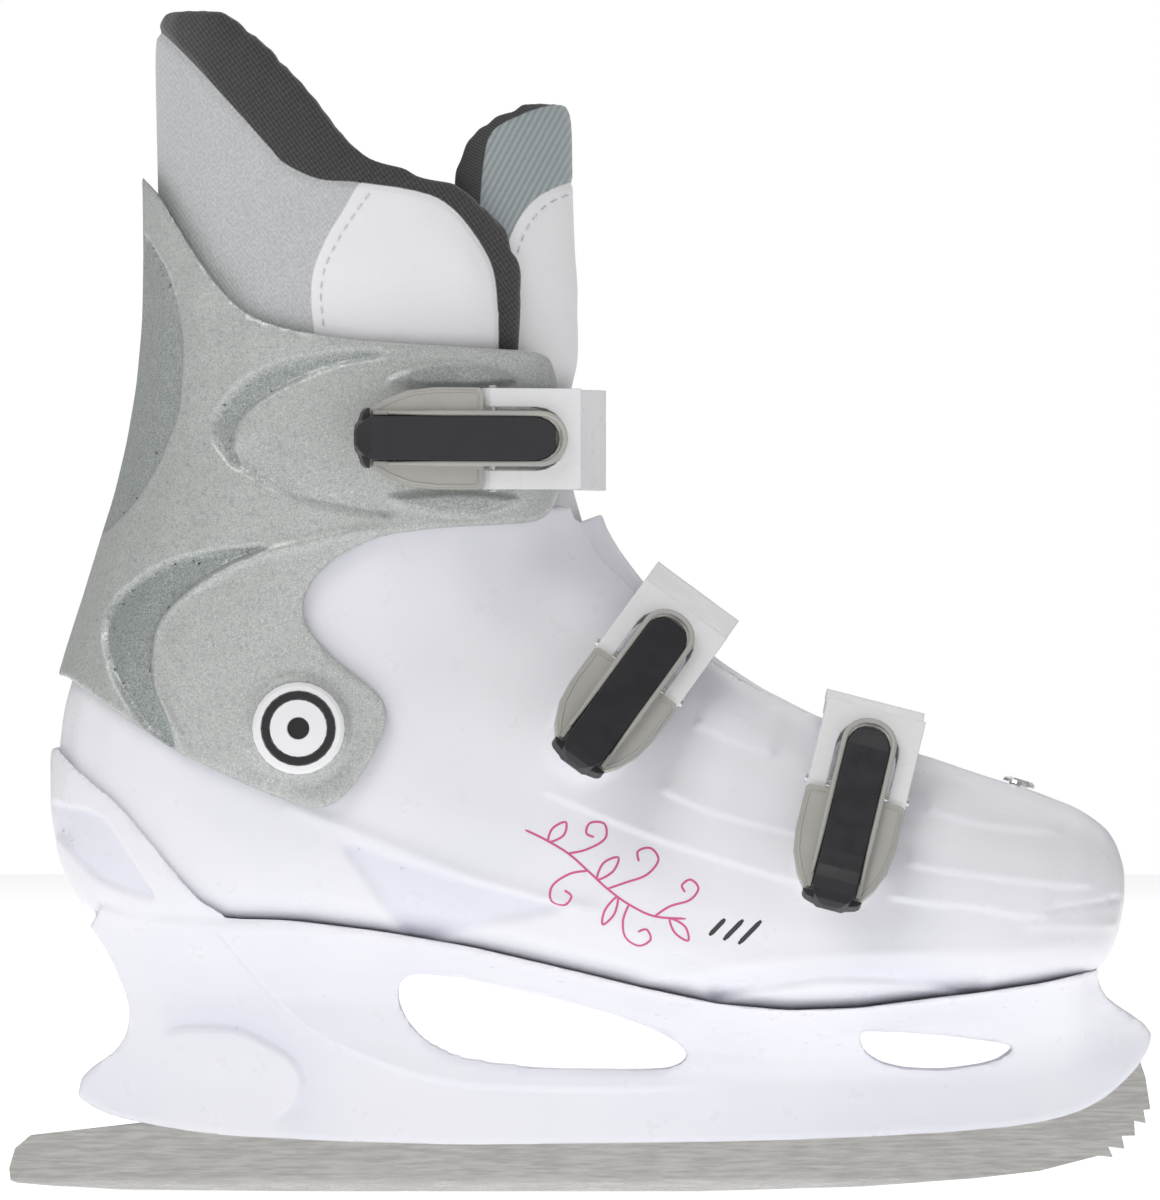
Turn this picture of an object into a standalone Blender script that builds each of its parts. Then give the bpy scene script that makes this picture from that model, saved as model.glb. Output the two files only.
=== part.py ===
"""Hard-shell figure skate: lower shell, hinged cuff, liner, blade holder, runner and three latches.

Frame: +X to the toe, +Y to the inner (medial) side, +Z up, metres.
The origin is on the ice under the middle of the runner.
"""
import math

import bmesh
import bpy
from mathutils import Vector
from mathutils.bvhtree import BVHTree

MM = 0.001

# Driving dimensions, millimetres unless said otherwise.
LENGTH_SCALE = 1.0        # stretches the boot form along X
WIDTH_SCALE = 1.0         # stretches the boot form across Y
SHELL_WALL = 3.0
CUFF_WALL = 3.0
CUFF_GAP = 0.9            # air between the shell form and the inside of the cuff
LINER_INSET = 5.6         # liner skin below the shell's outer form
LINER_THICK = 4.0
GAP = 0.3                 # between pieces that touch
HINGE_GAP = 0.1           # round a turning pin
BLADE_THICK = 4.0
BLADE_DEPTH = 9.0         # how far the runner stands inside the holder
HOLDER_NECK = 4.9         # half width of the holder beside the runner
PIVOT_X, PIVOT_Z = -71.8, 120.0
PIVOT_R = 4.0
CAP_R = 11.8
RING = 20                 # points round each section of the boot form
LEVER_HALF = 13.0
BODY_HALF = 7.0
SPINE_HALF = 5.6
CLIP_HALF = 12.9
CLIP_PIN_U = -13.5
NOSE_RATIO = 1.35         # length of the push piece's oval nose over its half width
BASE_TOP = -4.8
PAD_TOP = -6.5

# Boot form: each row is front/top point, back/bottom point and half width of one slanting section.
FORM = [
    ((140.2, 84.0), (140.2, 75.1), 15.0), ((138.7, 89.6), (138.7, 67.4), 25.5),
    ((135.7, 94.2), (135.7, 59.8), 33.0), ((128.8, 99.1), (130.1, 55.0), 40.0),
    ((117.3, 103.7), (118.6, 52.4), 46.0), ((103.3, 108.0), (103.3, 50.1), 49.8),
    ((88.0, 113.3), (86.7, 48.1), 51.3), ((74.0, 118.4), (71.4, 46.0), 51.3),
    ((59.9, 124.4), (53.6, 45.3), 49.8), ((47.2, 130.9), (35.7, 46.8), 47.6),
    ((36.2, 138.1), (15.3, 51.1), 45.2), ((28.1, 145.7), (-5.1, 56.0), 43.0),
    ((20.9, 153.6), (-28.1, 61.3), 41.2), ((15.3, 160.5), (-51.0, 65.2), 39.8),
    ((10.7, 166.9), (-74.0, 68.0), 38.8), ((7.9, 172.0), (-96.9, 68.5), 38.2),
    ((6.6, 175.8), (-117.3, 69.8), 38.2), ((5.9, 178.4), (-127.5, 75.6), 38.6),
    ((5.4, 180.4), (-132.8, 85.3), 39.0), ((4.8, 182.4), (-135.0, 98.0), 39.4),
    ((4.3, 184.9), (-135.2, 110.8), 39.8), ((3.8, 188.1), (-133.6, 124.8), 40.3),
    ((3.1, 192.4), (-129.8, 138.0), 40.8), ((2.3, 197.5), (-125.5, 151.6), 41.3),
    ((1.5, 203.4), (-121.2, 165.6), 41.7), ((1.0, 209.5), (-117.0, 179.0), 42.0),
    ((0.8, 216.6), (-113.8, 192.4), 42.2), ((0.3, 224.3), (-111.2, 207.7), 42.4),
    ((0.0, 233.2), (-109.7, 224.3), 42.8), ((-0.3, 244.7), (-109.4, 242.1), 43.4),
    ((-0.8, 257.4), (-109.6, 257.4), 44.2), ((-1.0, 272.7), (-110.0, 275.3), 45.2),
    ((-1.3, 290.6), (-110.4, 295.7), 46.2), ((-1.5, 308.0), (-110.6, 312.0), 46.8)]

SOLE = [(-127.5, 75.6), (-117.3, 69.8), (-96.9, 68.5), (-74.0, 68.0), (-51.0, 65.2), (-28.1, 61.3),
        (-5.1, 56.0), (15.3, 51.1), (35.7, 46.8), (53.6, 45.3), (71.4, 46.0), (86.7, 48.1),
        (103.3, 50.1), (118.6, 52.4), (130.1, 55.0), (134.0, 58.0)]
RUNNER_LOW = [(-147.4, 6.0), (-147.1, 2.9), (-145.3, 2.2), (-136.2, 1.4), (-118.6, 0.5), (-71.0, 0.0),
              (-20.0, 0.0), (30.6, 0.0), (72.9, 1.2), (102.3, 3.4), (118.8, 5.3), (134.0, 9.2),
              (137.6, 8.8), (136.4, 11.5), (140.6, 11.0), (139.9, 14.3), (143.3, 14.4), (143.1, 18.2),
              (146.1, 17.6), (145.5, 21.0), (147.3, 21.2), (146.0, 29.5), (144.7, 33.4)]
HOLDER_LOW = [(-118.6, 19.1), (-104.0, 16.1), (-89.4, 14.4), (-60.2, 12.9), (-31.9, 12.2), (-5.1, 12.4),
              (33.9, 12.9), (63.2, 13.7), (92.5, 15.2), (111.9, 16.9), (121.8, 18.6), (131.5, 21.8),
              (138.4, 26.6), (144.7, 33.4)]
HOLDER_HEEL = [(-126.0, 21.8), (-129.5, 24.7), (-128.9, 28.6), (-126.0, 32.0), (-120.1, 35.9),
               (-116.9, 40.7), (-116.0, 47.1), (-118.6, 55.5), (-122.0, 62.7), (-126.0, 68.7)]
HOLDER_TOE = [(146.6, 36.8), (147.4, 40.7), (145.2, 43.7), (139.2, 47.6), (134.4, 51.5), (133.0, 56.5)]
SPUR = [(-126.0, 66.0), (-129.4, 73.5), (-140.0, 80.0), (-142.0, 114.4), (-134.6, 114.6), (-128.4, 108.5),
        (-118.6, 100.7), (-110.8, 91.9), (-104.0, 83.2), (-97.2, 75.4), (-88.0, 70.0), (-88.0, 64.0)]
HOLE_BIG = [(-47.4, 51.0), (-46.4, 54.7), (-43.0, 56.4), (-30.9, 55.5), (-12.7, 51.6), (6.6, 46.6),
            (17.3, 42.7), (25.1, 38.8), (28.3, 34.9), (26.6, 32.5), (18.3, 31.2), (6.6, 30.9),
            (-5.1, 31.2), (-16.2, 32.0), (-30.9, 34.2), (-40.5, 38.8), (-45.4, 45.1)]
HOLE_SMALL = [(72.0, 41.8), (82.6, 41.5), (92.5, 40.6), (105.2, 39.0), (111.0, 38.0), (111.7, 36.6),
              (109.1, 34.4), (102.3, 32.5), (92.5, 31.5), (82.6, 31.9), (75.9, 33.9), (72.4, 37.8)]
CUFF = [(-118.0, 263.3), (-115.3, 263.3), (-111.9, 260.8), (-108.8, 257.2), (-105.1, 252.0),
        (-100.5, 244.2), (-96.3, 237.9), (-92.1, 232.2), (-87.5, 227.5), (-81.7, 224.1), (-75.5, 222.0),
        (-68.2, 220.7), (-59.9, 219.2), (-45.9, 218.2), (-33.1, 217.4), (-20.4, 216.8), (-11.5, 216.4),
        (-7.7, 214.6), (-6.1, 210.2), (-5.6, 203.9), (-5.2, 182.5), (-6.2, 177.5), (-7.9, 174.7),
        (-11.2, 172.8), (-21.2, 171.9), (-32.3, 171.4), (-43.4, 170.3), (-51.6, 168.9), (-59.9, 164.8),
        (-64.6, 162.2), (-69.6, 156.0), (-70.8, 151.0), (-70.2, 146.7), (-67.1, 142.4), (-61.5, 136.8),
        (-53.6, 130.6), (-50.1, 126.9), (-48.9, 123.2), (-50.4, 118.3), (-53.6, 111.5), (-58.4, 104.7),
        (-63.4, 100.3), (-67.1, 99.2), (-70.8, 100.0), (-83.2, 104.7), (-101.7, 113.3), (-120.2, 125.1),
        (-131.4, 132.8), (-150.0, 137.0), (-150.0, 263.3)]
SHELL_TOP = [(-150.0, 138.6), (-126.0, 138.6), (-106.0, 138.6), (-93.0, 142.0), (-81.0, 151.0), (-71.0, 160.0),
             (-60.0, 168.3), (-48.0, 175.0), (-30.0, 178.0), (-12.0, 177.0), (30.0, 177.0)]
LINER = [(-120.0, 40.0), (-120.0, 300.6), (-108.6, 301.0), (-107.4, 304.4), (-104.0, 305.6),
         (-99.1, 304.9), (-94.7, 304.4), (-89.4, 301.0), (-83.5, 297.1), (-77.6, 291.2), (-69.9, 282.4),
         (-64.0, 274.6), (-58.1, 268.8), (-53.3, 264.9), (-47.4, 263.9), (-40.5, 262.4), (-32.7, 260.5),
         (-25.9, 256.1), (-21.0, 250.3), (-17.6, 243.4), (-15.7, 235.6), (-15.2, 216.4), (-14.0, 186.0),
         (-4.0, 160.0), (20.0, 137.0), (50.0, 118.0), (150.0, 118.0), (150.0, 40.0)]
TONGUE = [(-32.5, 258.0), (-31.8, 264.9), (-29.3, 270.7), (-24.9, 275.6), (-18.1, 279.0), (-11.3, 282.0),
          (-6.4, 282.2), (-4.4, 281.5), (0.0, 279.5), (6.0, 276.0), (60.0, 276.0), (60.0, 119.0),
          (50.6, 119.0), (20.6, 138.0), (-3.3, 161.0), (-18.0, 190.0), (-26.0, 216.0), (-32.5, 240.0)]
THROAT_TOE = 106.0        # where the throat slot starts, behind the toe eyelet
THROAT_HALF = 15.0        # half width of the throat at the instep
EYELET = (113.2, 105.1)
CATCH = (57.9, 126.5)

# Latches: fulcrum place in side view, slope, inward lean, and the radii of the strap path over the form.
LATCHES = {
    "top": dict(at=(-9.7, 193.8), slope=0.0, lean=19.0, on="cuff", hub=(-42.0, 193.8),
                ladder=(-3.0, 4.7), clip=(-0.5, -0.2)),
    "instep": dict(at=(21.6, 142.8), slope=53.6, lean=35.0, on="shell", hub=(-20.0, 99.0),
                   ladder=(0.5, 0.5), clip=(3.4, 3.4)),
    "toe": dict(at=(73.6, 116.0), slope=75.6, lean=31.0, on="shell", hub=(62.0, 78.0),
                ladder=(1.2, 0.6), clip=(4.3, 4.5)),
}
LADDER_THICK = 2.0
CLIP_THICK = 2.6
LADDER_HALF = 8.5
TOOTH = 0.8

# Thin double walls, which the exact solver loses.
WELDED_SHELLS = ("boot_shell", "shell_tongue", "liner_boot", "liner_tongue", "cuff")

BODY = "ice_skate"
CUTTERS = "cutters"


def clear_scene():
    for obj in list(bpy.data.objects):
        bpy.data.objects.remove(obj, do_unlink=True)
    parts = bpy.data.collections.new(BODY)
    bpy.context.scene.collection.children.link(parts)
    cutters = bpy.data.collections.new(CUTTERS)
    bpy.context.scene.collection.children.link(cutters)
    cutters.hide_render = True


MATERIALS = {
    "shell_white": ((0.83, 0.83, 0.85), 0.28, 0.0),
    "cuff_silver": ((0.47, 0.49, 0.47), 0.38, 0.25),
    "latch_grey": ((0.52, 0.53, 0.50), 0.42, 0.0),
    "latch_black": ((0.025, 0.025, 0.028), 0.45, 0.0),
    "clip_white": ((0.85, 0.85, 0.86), 0.35, 0.0),
    "steel": ((0.45, 0.45, 0.43), 0.32, 1.0),
    "rivet": ((0.72, 0.72, 0.72), 0.15, 1.0),
    "liner_grey": ((0.38, 0.39, 0.40), 0.9, 0.0),
    "tongue_grey": ((0.30, 0.33, 0.34), 0.9, 0.0),
    "insole_grey": ((0.12, 0.12, 0.13), 0.95, 0.0),
}


def material(name):
    found = bpy.data.materials.get(name)
    if found:
        return found
    color, rough, metal = MATERIALS[name]
    made = bpy.data.materials.new(name)
    made.use_nodes = True
    shader = made.node_tree.nodes["Principled BSDF"]
    shader.inputs["Base Color"].default_value = (*color, 1.0)
    shader.inputs["Roughness"].default_value = rough
    shader.inputs["Metallic"].default_value = metal
    return made


def add_mesh(name, points, faces, slot=None, origin=(0.0, 0.0, 0.0)):
    """A closed mesh from points in millimetres; it goes to the cutters when no slot is given."""
    base = Vector(origin)
    mesh = bpy.data.meshes.new(name)
    mesh.from_pydata([tuple((Vector(p) - base) * MM) for p in points], [], faces)
    shape = bmesh.new()
    shape.from_mesh(mesh)
    bmesh.ops.recalc_face_normals(shape, faces=shape.faces)
    shape.to_mesh(mesh)
    shape.free()
    obj = bpy.data.objects.new(name, mesh)
    obj.location = base * MM
    if slot is None:
        bpy.data.collections[CUTTERS].objects.link(obj)
        obj.hide_render = True
        obj.display_type = "WIRE"
    else:
        bpy.data.collections[BODY].objects.link(obj)
        mesh.materials.append(material(slot))
    return obj


def combine(obj, operation, other):
    step = obj.modifiers.new(operation.lower() + "_" + other.name, "BOOLEAN")
    step.operation = operation
    step.solver = "MANIFOLD" if obj.name in WELDED_SHELLS else "EXACT"
    step.object = other
    return obj


def cut(obj, *others):
    for other in others:
        combine(obj, "DIFFERENCE", other)
    return obj


def join(obj, *others):
    for other in others:
        combine(obj, "UNION", other)
    return obj


def keep(obj, *others):
    for other in others:
        combine(obj, "INTERSECT", other)
    return obj


# ---- the boot form -------------------------------------------------------------------------------

def normals_2d(line):
    """Unit normals of a polyline, to the left of its direction."""
    found = []
    for i in range(len(line)):
        a = Vector(line[max(i - 1, 0)])
        b = Vector(line[min(i + 1, len(line) - 1)])
        t = (b - a).normalized()
        found.append(Vector((-t.y, t.x)))
    return found


FRONT = [Vector((f[0] * LENGTH_SCALE, f[1])) for f, b, w in FORM]
BACK = [Vector((b[0] * LENGTH_SCALE, b[1])) for f, b, w in FORM]
WIDTH = [w * WIDTH_SCALE for f, b, w in FORM]
FRONT_OUT = [-n for n in normals_2d(FRONT)]
BACK_OUT = normals_2d(BACK)


def section(i, grow):
    """Points of form section i, grown outward by grow millimetres."""
    g = grow(i) if callable(grow) else grow
    front = FRONT[i] + FRONT_OUT[i] * g
    back = BACK[i] + BACK_OUT[i] * g
    half = WIDTH[i] + g
    peak = min(0.50, 0.34 + 0.012 * i)
    low_n = 3.4 if i < 16 else max(2.2, 3.4 - 0.15 * (i - 15))
    high_n = 2.15
    points = []
    for k in range(RING):
        angle = 2.0 * math.pi * (k + 0.5) / RING
        c, s = math.cos(angle), math.sin(angle)
        n = high_n if c > 0 else low_n
        away = abs(c) ** (2.0 / n)
        side = math.copysign(abs(s) ** (2.0 / max(2.05, n)), s)
        t = peak + (1.0 - peak) * away if c > 0 else peak - peak * away
        spot = back.lerp(front, t)
        points.append((spot.x, side * half, spot.y))
    return points


def ring_faces(rings, size, flip=False):
    faces = []
    for r in range(rings - 1):
        for k in range(size):
            a, b = r * size + k, r * size + (k + 1) % size
            quad = (a, b, b + size, a + size)
            faces.append(quad[::-1] if flip else quad)
    return faces


def solid_form(name, first, last, grow):
    """The boot form from section first to last as one closed solid."""
    rings = list(range(first, last + 1))
    points = [p for i in rings for p in section(i, grow)]
    faces = ring_faces(len(rings), RING)
    faces.append(tuple(range(RING)))
    faces.append(tuple(range((len(rings) - 1) * RING, len(rings) * RING)))
    return add_mesh(name, points, faces)


LAST = len(FORM) - 1
HEEL_LAST = 26


def prism(name, outline, low=-90.0, high=90.0, slot=None):
    """A side-view outline (x, z) carried across Y from low to high."""
    count = len(outline)
    points = [(x, low, z) for x, z in outline] + [(x, high, z) for x, z in outline]
    faces = [tuple(range(count)), tuple(range(2 * count - 1, count - 1, -1))]
    faces += [(i, i + count, (i + 1) % count + count, (i + 1) % count) for i in range(count)]
    return add_mesh(name, points, faces, slot)


def shell_top_region(name, grow_line):
    """Everything under the shell's top edge."""
    outline = [(x, z + grow_line) for x, z in SHELL_TOP] + [(160.0, 177.0), (160.0, 30.0), (-150.0, 30.0)]
    return prism(name, outline)


def cylinder(name, centre, axis, radius, low, high, slot=None, count=24, origin=None, hole=0.0):
    """A cylinder about an axis through centre, from low to high along it; hole makes it a tube."""
    axis = Vector(axis).normalized()
    side = axis.orthogonal().normalized()
    other = axis.cross(side)
    centre = Vector(centre)
    loops = [(radius, low), (radius, high)] if not hole else \
        [(radius, low), (radius, high), (hole, high), (hole, low)]
    points = []
    for r, h in loops:
        for k in range(count):
            a = 2.0 * math.pi * k / count
            points.append(centre + axis * h + (side * math.cos(a) + other * math.sin(a)) * r)
    faces = []
    total = len(loops)
    for j in range(total if hole else total - 1):
        for k in range(count):
            a, b = j * count + k, j * count + (k + 1) % count
            c, d = (b + count) % (total * count), (a + count) % (total * count)
            faces.append((a, b, c, d))
    if not hole:
        faces.append(tuple(range(count)))
        faces.append(tuple(range(count, 2 * count)))
    return add_mesh(name, points, faces, slot, origin or (0.0, 0.0, 0.0))


def lathe(name, centre, axis, profile, slot, count=24, origin=None):
    """A turned piece: profile rows are (radius, height), ending on the axis or back at the first row."""
    axis = Vector(axis).normalized()
    side = axis.orthogonal().normalized()
    other = axis.cross(side)
    centre = Vector(centre)
    points, loops = [], []
    for r, h in profile:
        if loops and (r, h) == profile[0]:
            loops.append(loops[0])
            continue
        if r == 0.0:
            loops.append([len(points)] * count)
            points.append(centre + axis * h)
            continue
        loops.append(list(range(len(points), len(points) + count)))
        for k in range(count):
            a = 2.0 * math.pi * k / count
            points.append(centre + axis * h + (side * math.cos(a) + other * math.sin(a)) * r)
    faces = []
    for j in range(len(loops) - 1):
        for k in range(count):
            quad = [loops[j][k], loops[j][(k + 1) % count], loops[j + 1][(k + 1) % count], loops[j + 1][k]]
            clean = []
            for v in quad:
                if v not in clean:
                    clean.append(v)
            if len(clean) > 2:
                faces.append(tuple(clean))
    return add_mesh(name, points, faces, slot, origin or (0.0, 0.0, 0.0))


def form_tree(grow):
    points = [p for i in range(LAST + 1) for p in section(i, grow)]
    faces = ring_faces(LAST + 1, RING)
    faces.append(tuple(range(RING)))
    return BVHTree.FromPolygons([Vector(p) for p in points], faces)


FORM_TREE = form_tree(0.0)
CUFF_TREE = form_tree(CUFF_GAP + CUFF_WALL)


def side_of(tree, x, z):
    """Half width of a form at a point of the side view."""
    hit = tree.ray_cast(Vector((x, -200.0, z)), Vector((0.0, 1.0, 0.0)))
    return -hit[0].y


# ---- latch frame ---------------------------------------------------------------------------------

class LatchFrame:
    """Local axes of one latch: u to the nose, v across, n away from the boot; fulcrum at the origin."""

    def __init__(self, spec):
        a, lean = math.radians(spec["slope"]), math.radians(spec["lean"])
        self.u = Vector((math.cos(lean) * math.cos(a), math.sin(lean), math.cos(lean) * math.sin(a)))
        self.v = Vector((-math.sin(a), 0.0, math.cos(a)))
        self.n = self.u.cross(self.v)
        tree = CUFF_TREE if spec["on"] == "cuff" else FORM_TREE
        goal = Vector((spec["at"][0], 0.0, spec["at"][1]))
        x, z = spec["at"]
        for _ in range(6):
            seat = Vector((x, -side_of(tree, x, z), z))
            hits = []
            for back in (4.0, -4.0, -12.0, -20.0, -28.0, -34.0):
                for across in (-8.0, 0.0, 8.0):
                    start = seat + self.u * back + self.v * across + self.n * 60.0
                    hit = tree.ray_cast(start, -self.n)
                    hits.append((hit[0] - seat).dot(self.n))
            self.at = seat + self.n * (max(hits) - PAD_TOP + 0.9)
            x += goal.x - self.at.x
            z += goal.z - self.at.z
        hub = spec["hub"]
        self.hub = Vector((hub[0], 0.0, hub[1]))

    def point(self, u, v, n):
        return self.at + self.u * u + self.v * v + self.n * n

    def slab(self, name, outline, low, high, slot=None, origin=None):
        """An outline in (u, v) carried from n = low to n = high."""
        count = len(outline)
        points = [self.point(u, v, low) for u, v in outline]
        points += [self.point(u, v, high) for u, v in outline]
        faces = [tuple(range(count)), tuple(range(2 * count - 1, count - 1, -1))]
        faces += [(i, i + count, (i + 1) % count + count, (i + 1) % count) for i in range(count)]
        return add_mesh(name, points, faces, slot, origin or (0.0, 0.0, 0.0))

    def band(self, name, outline, low, high, slot=None, origin=None):
        """An outline in (u, n) carried from v = low to v = high."""
        count = len(outline)
        points = [self.point(u, low, n) for u, n in outline]
        points += [self.point(u, high, n) for u, n in outline]
        faces = [tuple(range(count)), tuple(range(2 * count - 1, count - 1, -1))]
        faces += [(i, i + count, (i + 1) % count + count, (i + 1) % count) for i in range(count)]
        return add_mesh(name, points, faces, slot, origin or (0.0, 0.0, 0.0))

    def bar(self, name, u, n, radius, low, high, slot=None, count=16, origin=None):
        """A round bar across the latch."""
        return cylinder(name, self.point(u, 0.0, n), self.v, radius, low, high, slot, count, origin)

    def over_the_boot(self, turns, lift, half):
        """Points (u, n) over the boot form in the latch plane, raised by lift(share) along the way.

        Each clears the form over the whole width of a band of this half width.
        turns are angles about the hub in degrees, from the latch side (0) over the front."""
        rel = self.hub - self.at
        hub_u, hub_n = rel.dot(self.u), rel.dot(self.n)
        centre = self.point(hub_u, 0.0, hub_n)
        raw = []
        for turn in turns:
            a = math.radians(turn)
            ray = self.n * math.cos(a) + self.u * math.sin(a)
            hits = [FORM_TREE.ray_cast(centre + self.v * v + ray * 160.0, -ray) for v in (-half, 0.0, half)]
            spot = max((hit[0] for hit in hits), key=lambda p: (p - centre).dot(ray)) - self.at
            raw.append(Vector((spot.dot(self.u), spot.dot(self.n))))
        out = normals_2d(raw)
        return [raw[i] + out[i] * lift(i / (len(raw) - 1)) for i in range(len(raw))]


def mirror_y(point):
    return Vector((point[0], -point[1], point[2]))


# ---- lower shell, tongue, holder, runner ---------------------------------------------------------

def throat_slot(name, margin):
    """The slot over the instep, as a wedge seen from above, open at the top of the boot."""
    toe = THROAT_TOE - margin * 3.0
    half = THROAT_HALF - margin
    low = [(toe, 1.3), (toe - 14.3, 5.6 - margin), (46.3, 12.1 - margin), (19.7, half + 0.2), (-31.7, half + 6.3)]
    outline = [(x, -y) for x, y in low] + [(x, y) for x, y in reversed(low)]
    count = len(outline)
    points = [(x, y, 97.4) for x, y in outline] + [(x, y, 241.0) for x, y in outline]
    faces = [tuple(range(count)), tuple(range(2 * count - 1, count - 1, -1))]
    faces += [(i, i + count, (i + 1) % count + count, (i + 1) % count) for i in range(count)]
    return add_mesh(name, points, faces)


def make_shell(frames, holes):
    shell = add_mesh("boot_shell", *form_mesh(0, HEEL_LAST, 0.0), "shell_white")
    for key, frame in frames.items():
        if LATCHES[key]["on"] == "shell":
            join(shell, pad(frame, "pad_" + key))
    cut(shell, solid_form("shell_hollow", 1, HEEL_LAST + 1, -SHELL_WALL))
    keep(shell, shell_top_region("shell_region", 0.0))
    cut(shell, throat_slot("throat", 0.0))
    return cut(shell, *holes)


def form_mesh(first, last, grow):
    rings = list(range(first, last + 1))
    points = [p for i in rings for p in section(i, grow)]
    faces = ring_faces(len(rings), RING)
    faces.append(tuple(range(RING)))
    faces.append(tuple(range((len(rings) - 1) * RING, len(rings) * RING)))
    return points, faces


def pad(frame, name):
    """The flat seat moulded under a latch."""
    outline = [(-38.0, -4.0), (-34.0, -8.5), (5.0, -8.5), (8.0, -5.0), (8.0, 5.0), (5.0, 8.5),
               (-34.0, 8.5), (-38.0, 4.0)]
    return frame.slab(name, outline, -22.0, PAD_TOP)


def make_shell_tongue():
    """The moulded tongue: a wide skirt under the shell flaps with a raised crown in the throat."""
    tongue = add_mesh("shell_tongue", *form_mesh(1, 22, -SHELL_WALL - 0.6), "shell_white")
    crown = solid_form("tongue_crown", 1, 22, -0.5)
    keep(crown, throat_slot("throat_inner", 0.5))
    join(tongue, crown)
    cut(tongue, solid_form("tongue_hollow", 1, 23, -SHELL_WALL - GAP - 1.8))
    wide = [(118.0, -10.0), (100.0, -13.0), (46.0, -22.0), (-4.0, -24.0), (-4.0, 24.0), (46.0, 22.0),
            (100.0, 13.0), (118.0, 10.0)]
    count = len(wide)
    points = [(x, y, 92.0) for x, y in wide] + [(x, y, 240.0) for x, y in wide]
    faces = [tuple(range(count)), tuple(range(2 * count - 1, count - 1, -1))]
    faces += [(i, i + count, (i + 1) % count + count, (i + 1) % count) for i in range(count)]
    keep(tongue, add_mesh("tongue_region", points, faces))
    keep(tongue, prism("tongue_end", [(-2.0, 172.0), (30.0, 184.0), (150.0, 130.0), (150.0, 92.0),
                                      (40.0, 92.0), (-6.0, 130.0)]))
    return tongue


def sole_height(x):
    for (x0, z0), (x1, z1) in zip(SOLE, SOLE[1:]):
        if x0 <= x <= x1:
            return z0 + (z1 - z0) * (x - x0) / (x1 - x0)
    return SOLE[0][1] if x < SOLE[0][0] else SOLE[-1][1]


def foot_half(x):
    """Half width of the boot form just above the sole."""
    z = sole_height(x) + 6.0
    hit = FORM_TREE.ray_cast(Vector((x, -200.0, z)), Vector((0.0, 1.0, 0.0)))
    return -hit[0].y if hit[0] else 12.0


def make_holder(holes):
    """Stations along X: narrow beside the runner, flared to the sole."""
    stations = [-131.0, -124.0, -112.0, -96.0, -76.0, -54.0, -30.0, -4.0, 22.0, 48.0, 72.0, 92.0, 108.0,
                120.0, 128.0, 133.0, 138.0, 148.0]
    points, size = [], 0
    for x in stations:
        top = sole_height(x) + 3.5 if x < 134.0 else 57.0
        wide = foot_half(max(min(x, 129.0), -125.0)) + 0.1
        if x > 130.0:
            wide = max(6.5, wide - (x - 128.0) * 2.6)
        if x < -124.0:
            wide = wide * 0.8
        low = 8.0
        span = top - low
        rows = [(0.0, HOLDER_NECK), (0.30, HOLDER_NECK + 0.3), (0.50, HOLDER_NECK + 1.6),
                (0.66, HOLDER_NECK + 0.14 * wide), (0.80, HOLDER_NECK + 0.36 * wide), (0.90, 0.80 * wide),
                (0.95, 0.97 * wide), (1.0, wide)]
        ring = [(x, -y, low + span * share) for share, y in rows]
        ring += [(x, y, low + span * share) for share, y in reversed(rows)]
        size = len(ring)
        points += ring
    faces = ring_faces(len(stations), size)
    faces.append(tuple(range(size)))
    faces.append(tuple(range((len(stations) - 1) * size, len(stations) * size)))
    holder = add_mesh("blade_holder", points, faces, "shell_white")
    outline = HOLDER_LOW + HOLDER_TOE + [(p[0], p[1] + 2.5) for p in reversed(SOLE[1:])] + \
        [(-123.0, 74.0)] + list(reversed(HOLDER_HEEL))
    keep(holder, prism("holder_side", outline))
    spur = solid_form("heel_spur", 12, 24, 2.0)
    keep(spur, prism("spur_side", SPUR))
    join(holder, spur)
    cut(holder, solid_form("holder_seat", 0, LAST, GAP))
    cut(holder, prism("hole_big", HOLE_BIG), prism("hole_small", HOLE_SMALL))
    cut(holder, runner_solid("runner_slot", GAP))
    return cut(holder, *holes)


def runner_outline(extra):
    upper = [(x, z + BLADE_DEPTH + extra) for x, z in HOLDER_LOW[1:-2]]
    toe = [(140.0 + extra, 38.0 + extra), (144.7, 33.4)]
    tail = [(-118.6, 19.1), (-118.6 + 0.01, 19.2), (-142.0, 14.4), (-145.9, 11.1)]
    low = RUNNER_LOW if extra == 0 else RUNNER_LOW
    start = [(-112.0 - extra, 17.8), (-112.0 - extra, 25.0 + extra)]
    return low + [toe[0]] + list(reversed(upper)) + list(reversed(start)) + tail[2:]


def runner_solid(name, extra, slot=None):
    half = BLADE_THICK / 2.0 + extra
    return prism(name, runner_outline(extra), -half, half, slot)


# ---- liner ---------------------------------------------------------------------------------------

def liner_grow(i):
    steps = {25: -4.2, 26: -2.8, 27: -1.4, 28: -0.5}
    return -LINER_INSET if i < 25 else steps.get(i, 0.0)


def make_liner():
    liner = add_mesh("liner_boot", *form_mesh(2, LAST, liner_grow), "liner_grey")
    cut(liner, solid_form("liner_hollow", 3, LAST, lambda i: liner_grow(i) - LINER_THICK))
    top = solid_form("liner_mouth", 28, LAST, lambda i: liner_grow(i) - LINER_THICK)
    top.location.z = 6.0 * MM
    cut(liner, top)
    clearance = sections_mesh(tongue_sections(lambda i: tongue_inset(i) + 0.5, -0.5))
    cut(liner, add_mesh("liner_tongue_clearance", *clearance))
    return keep(liner, prism("liner_side", LINER))


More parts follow.
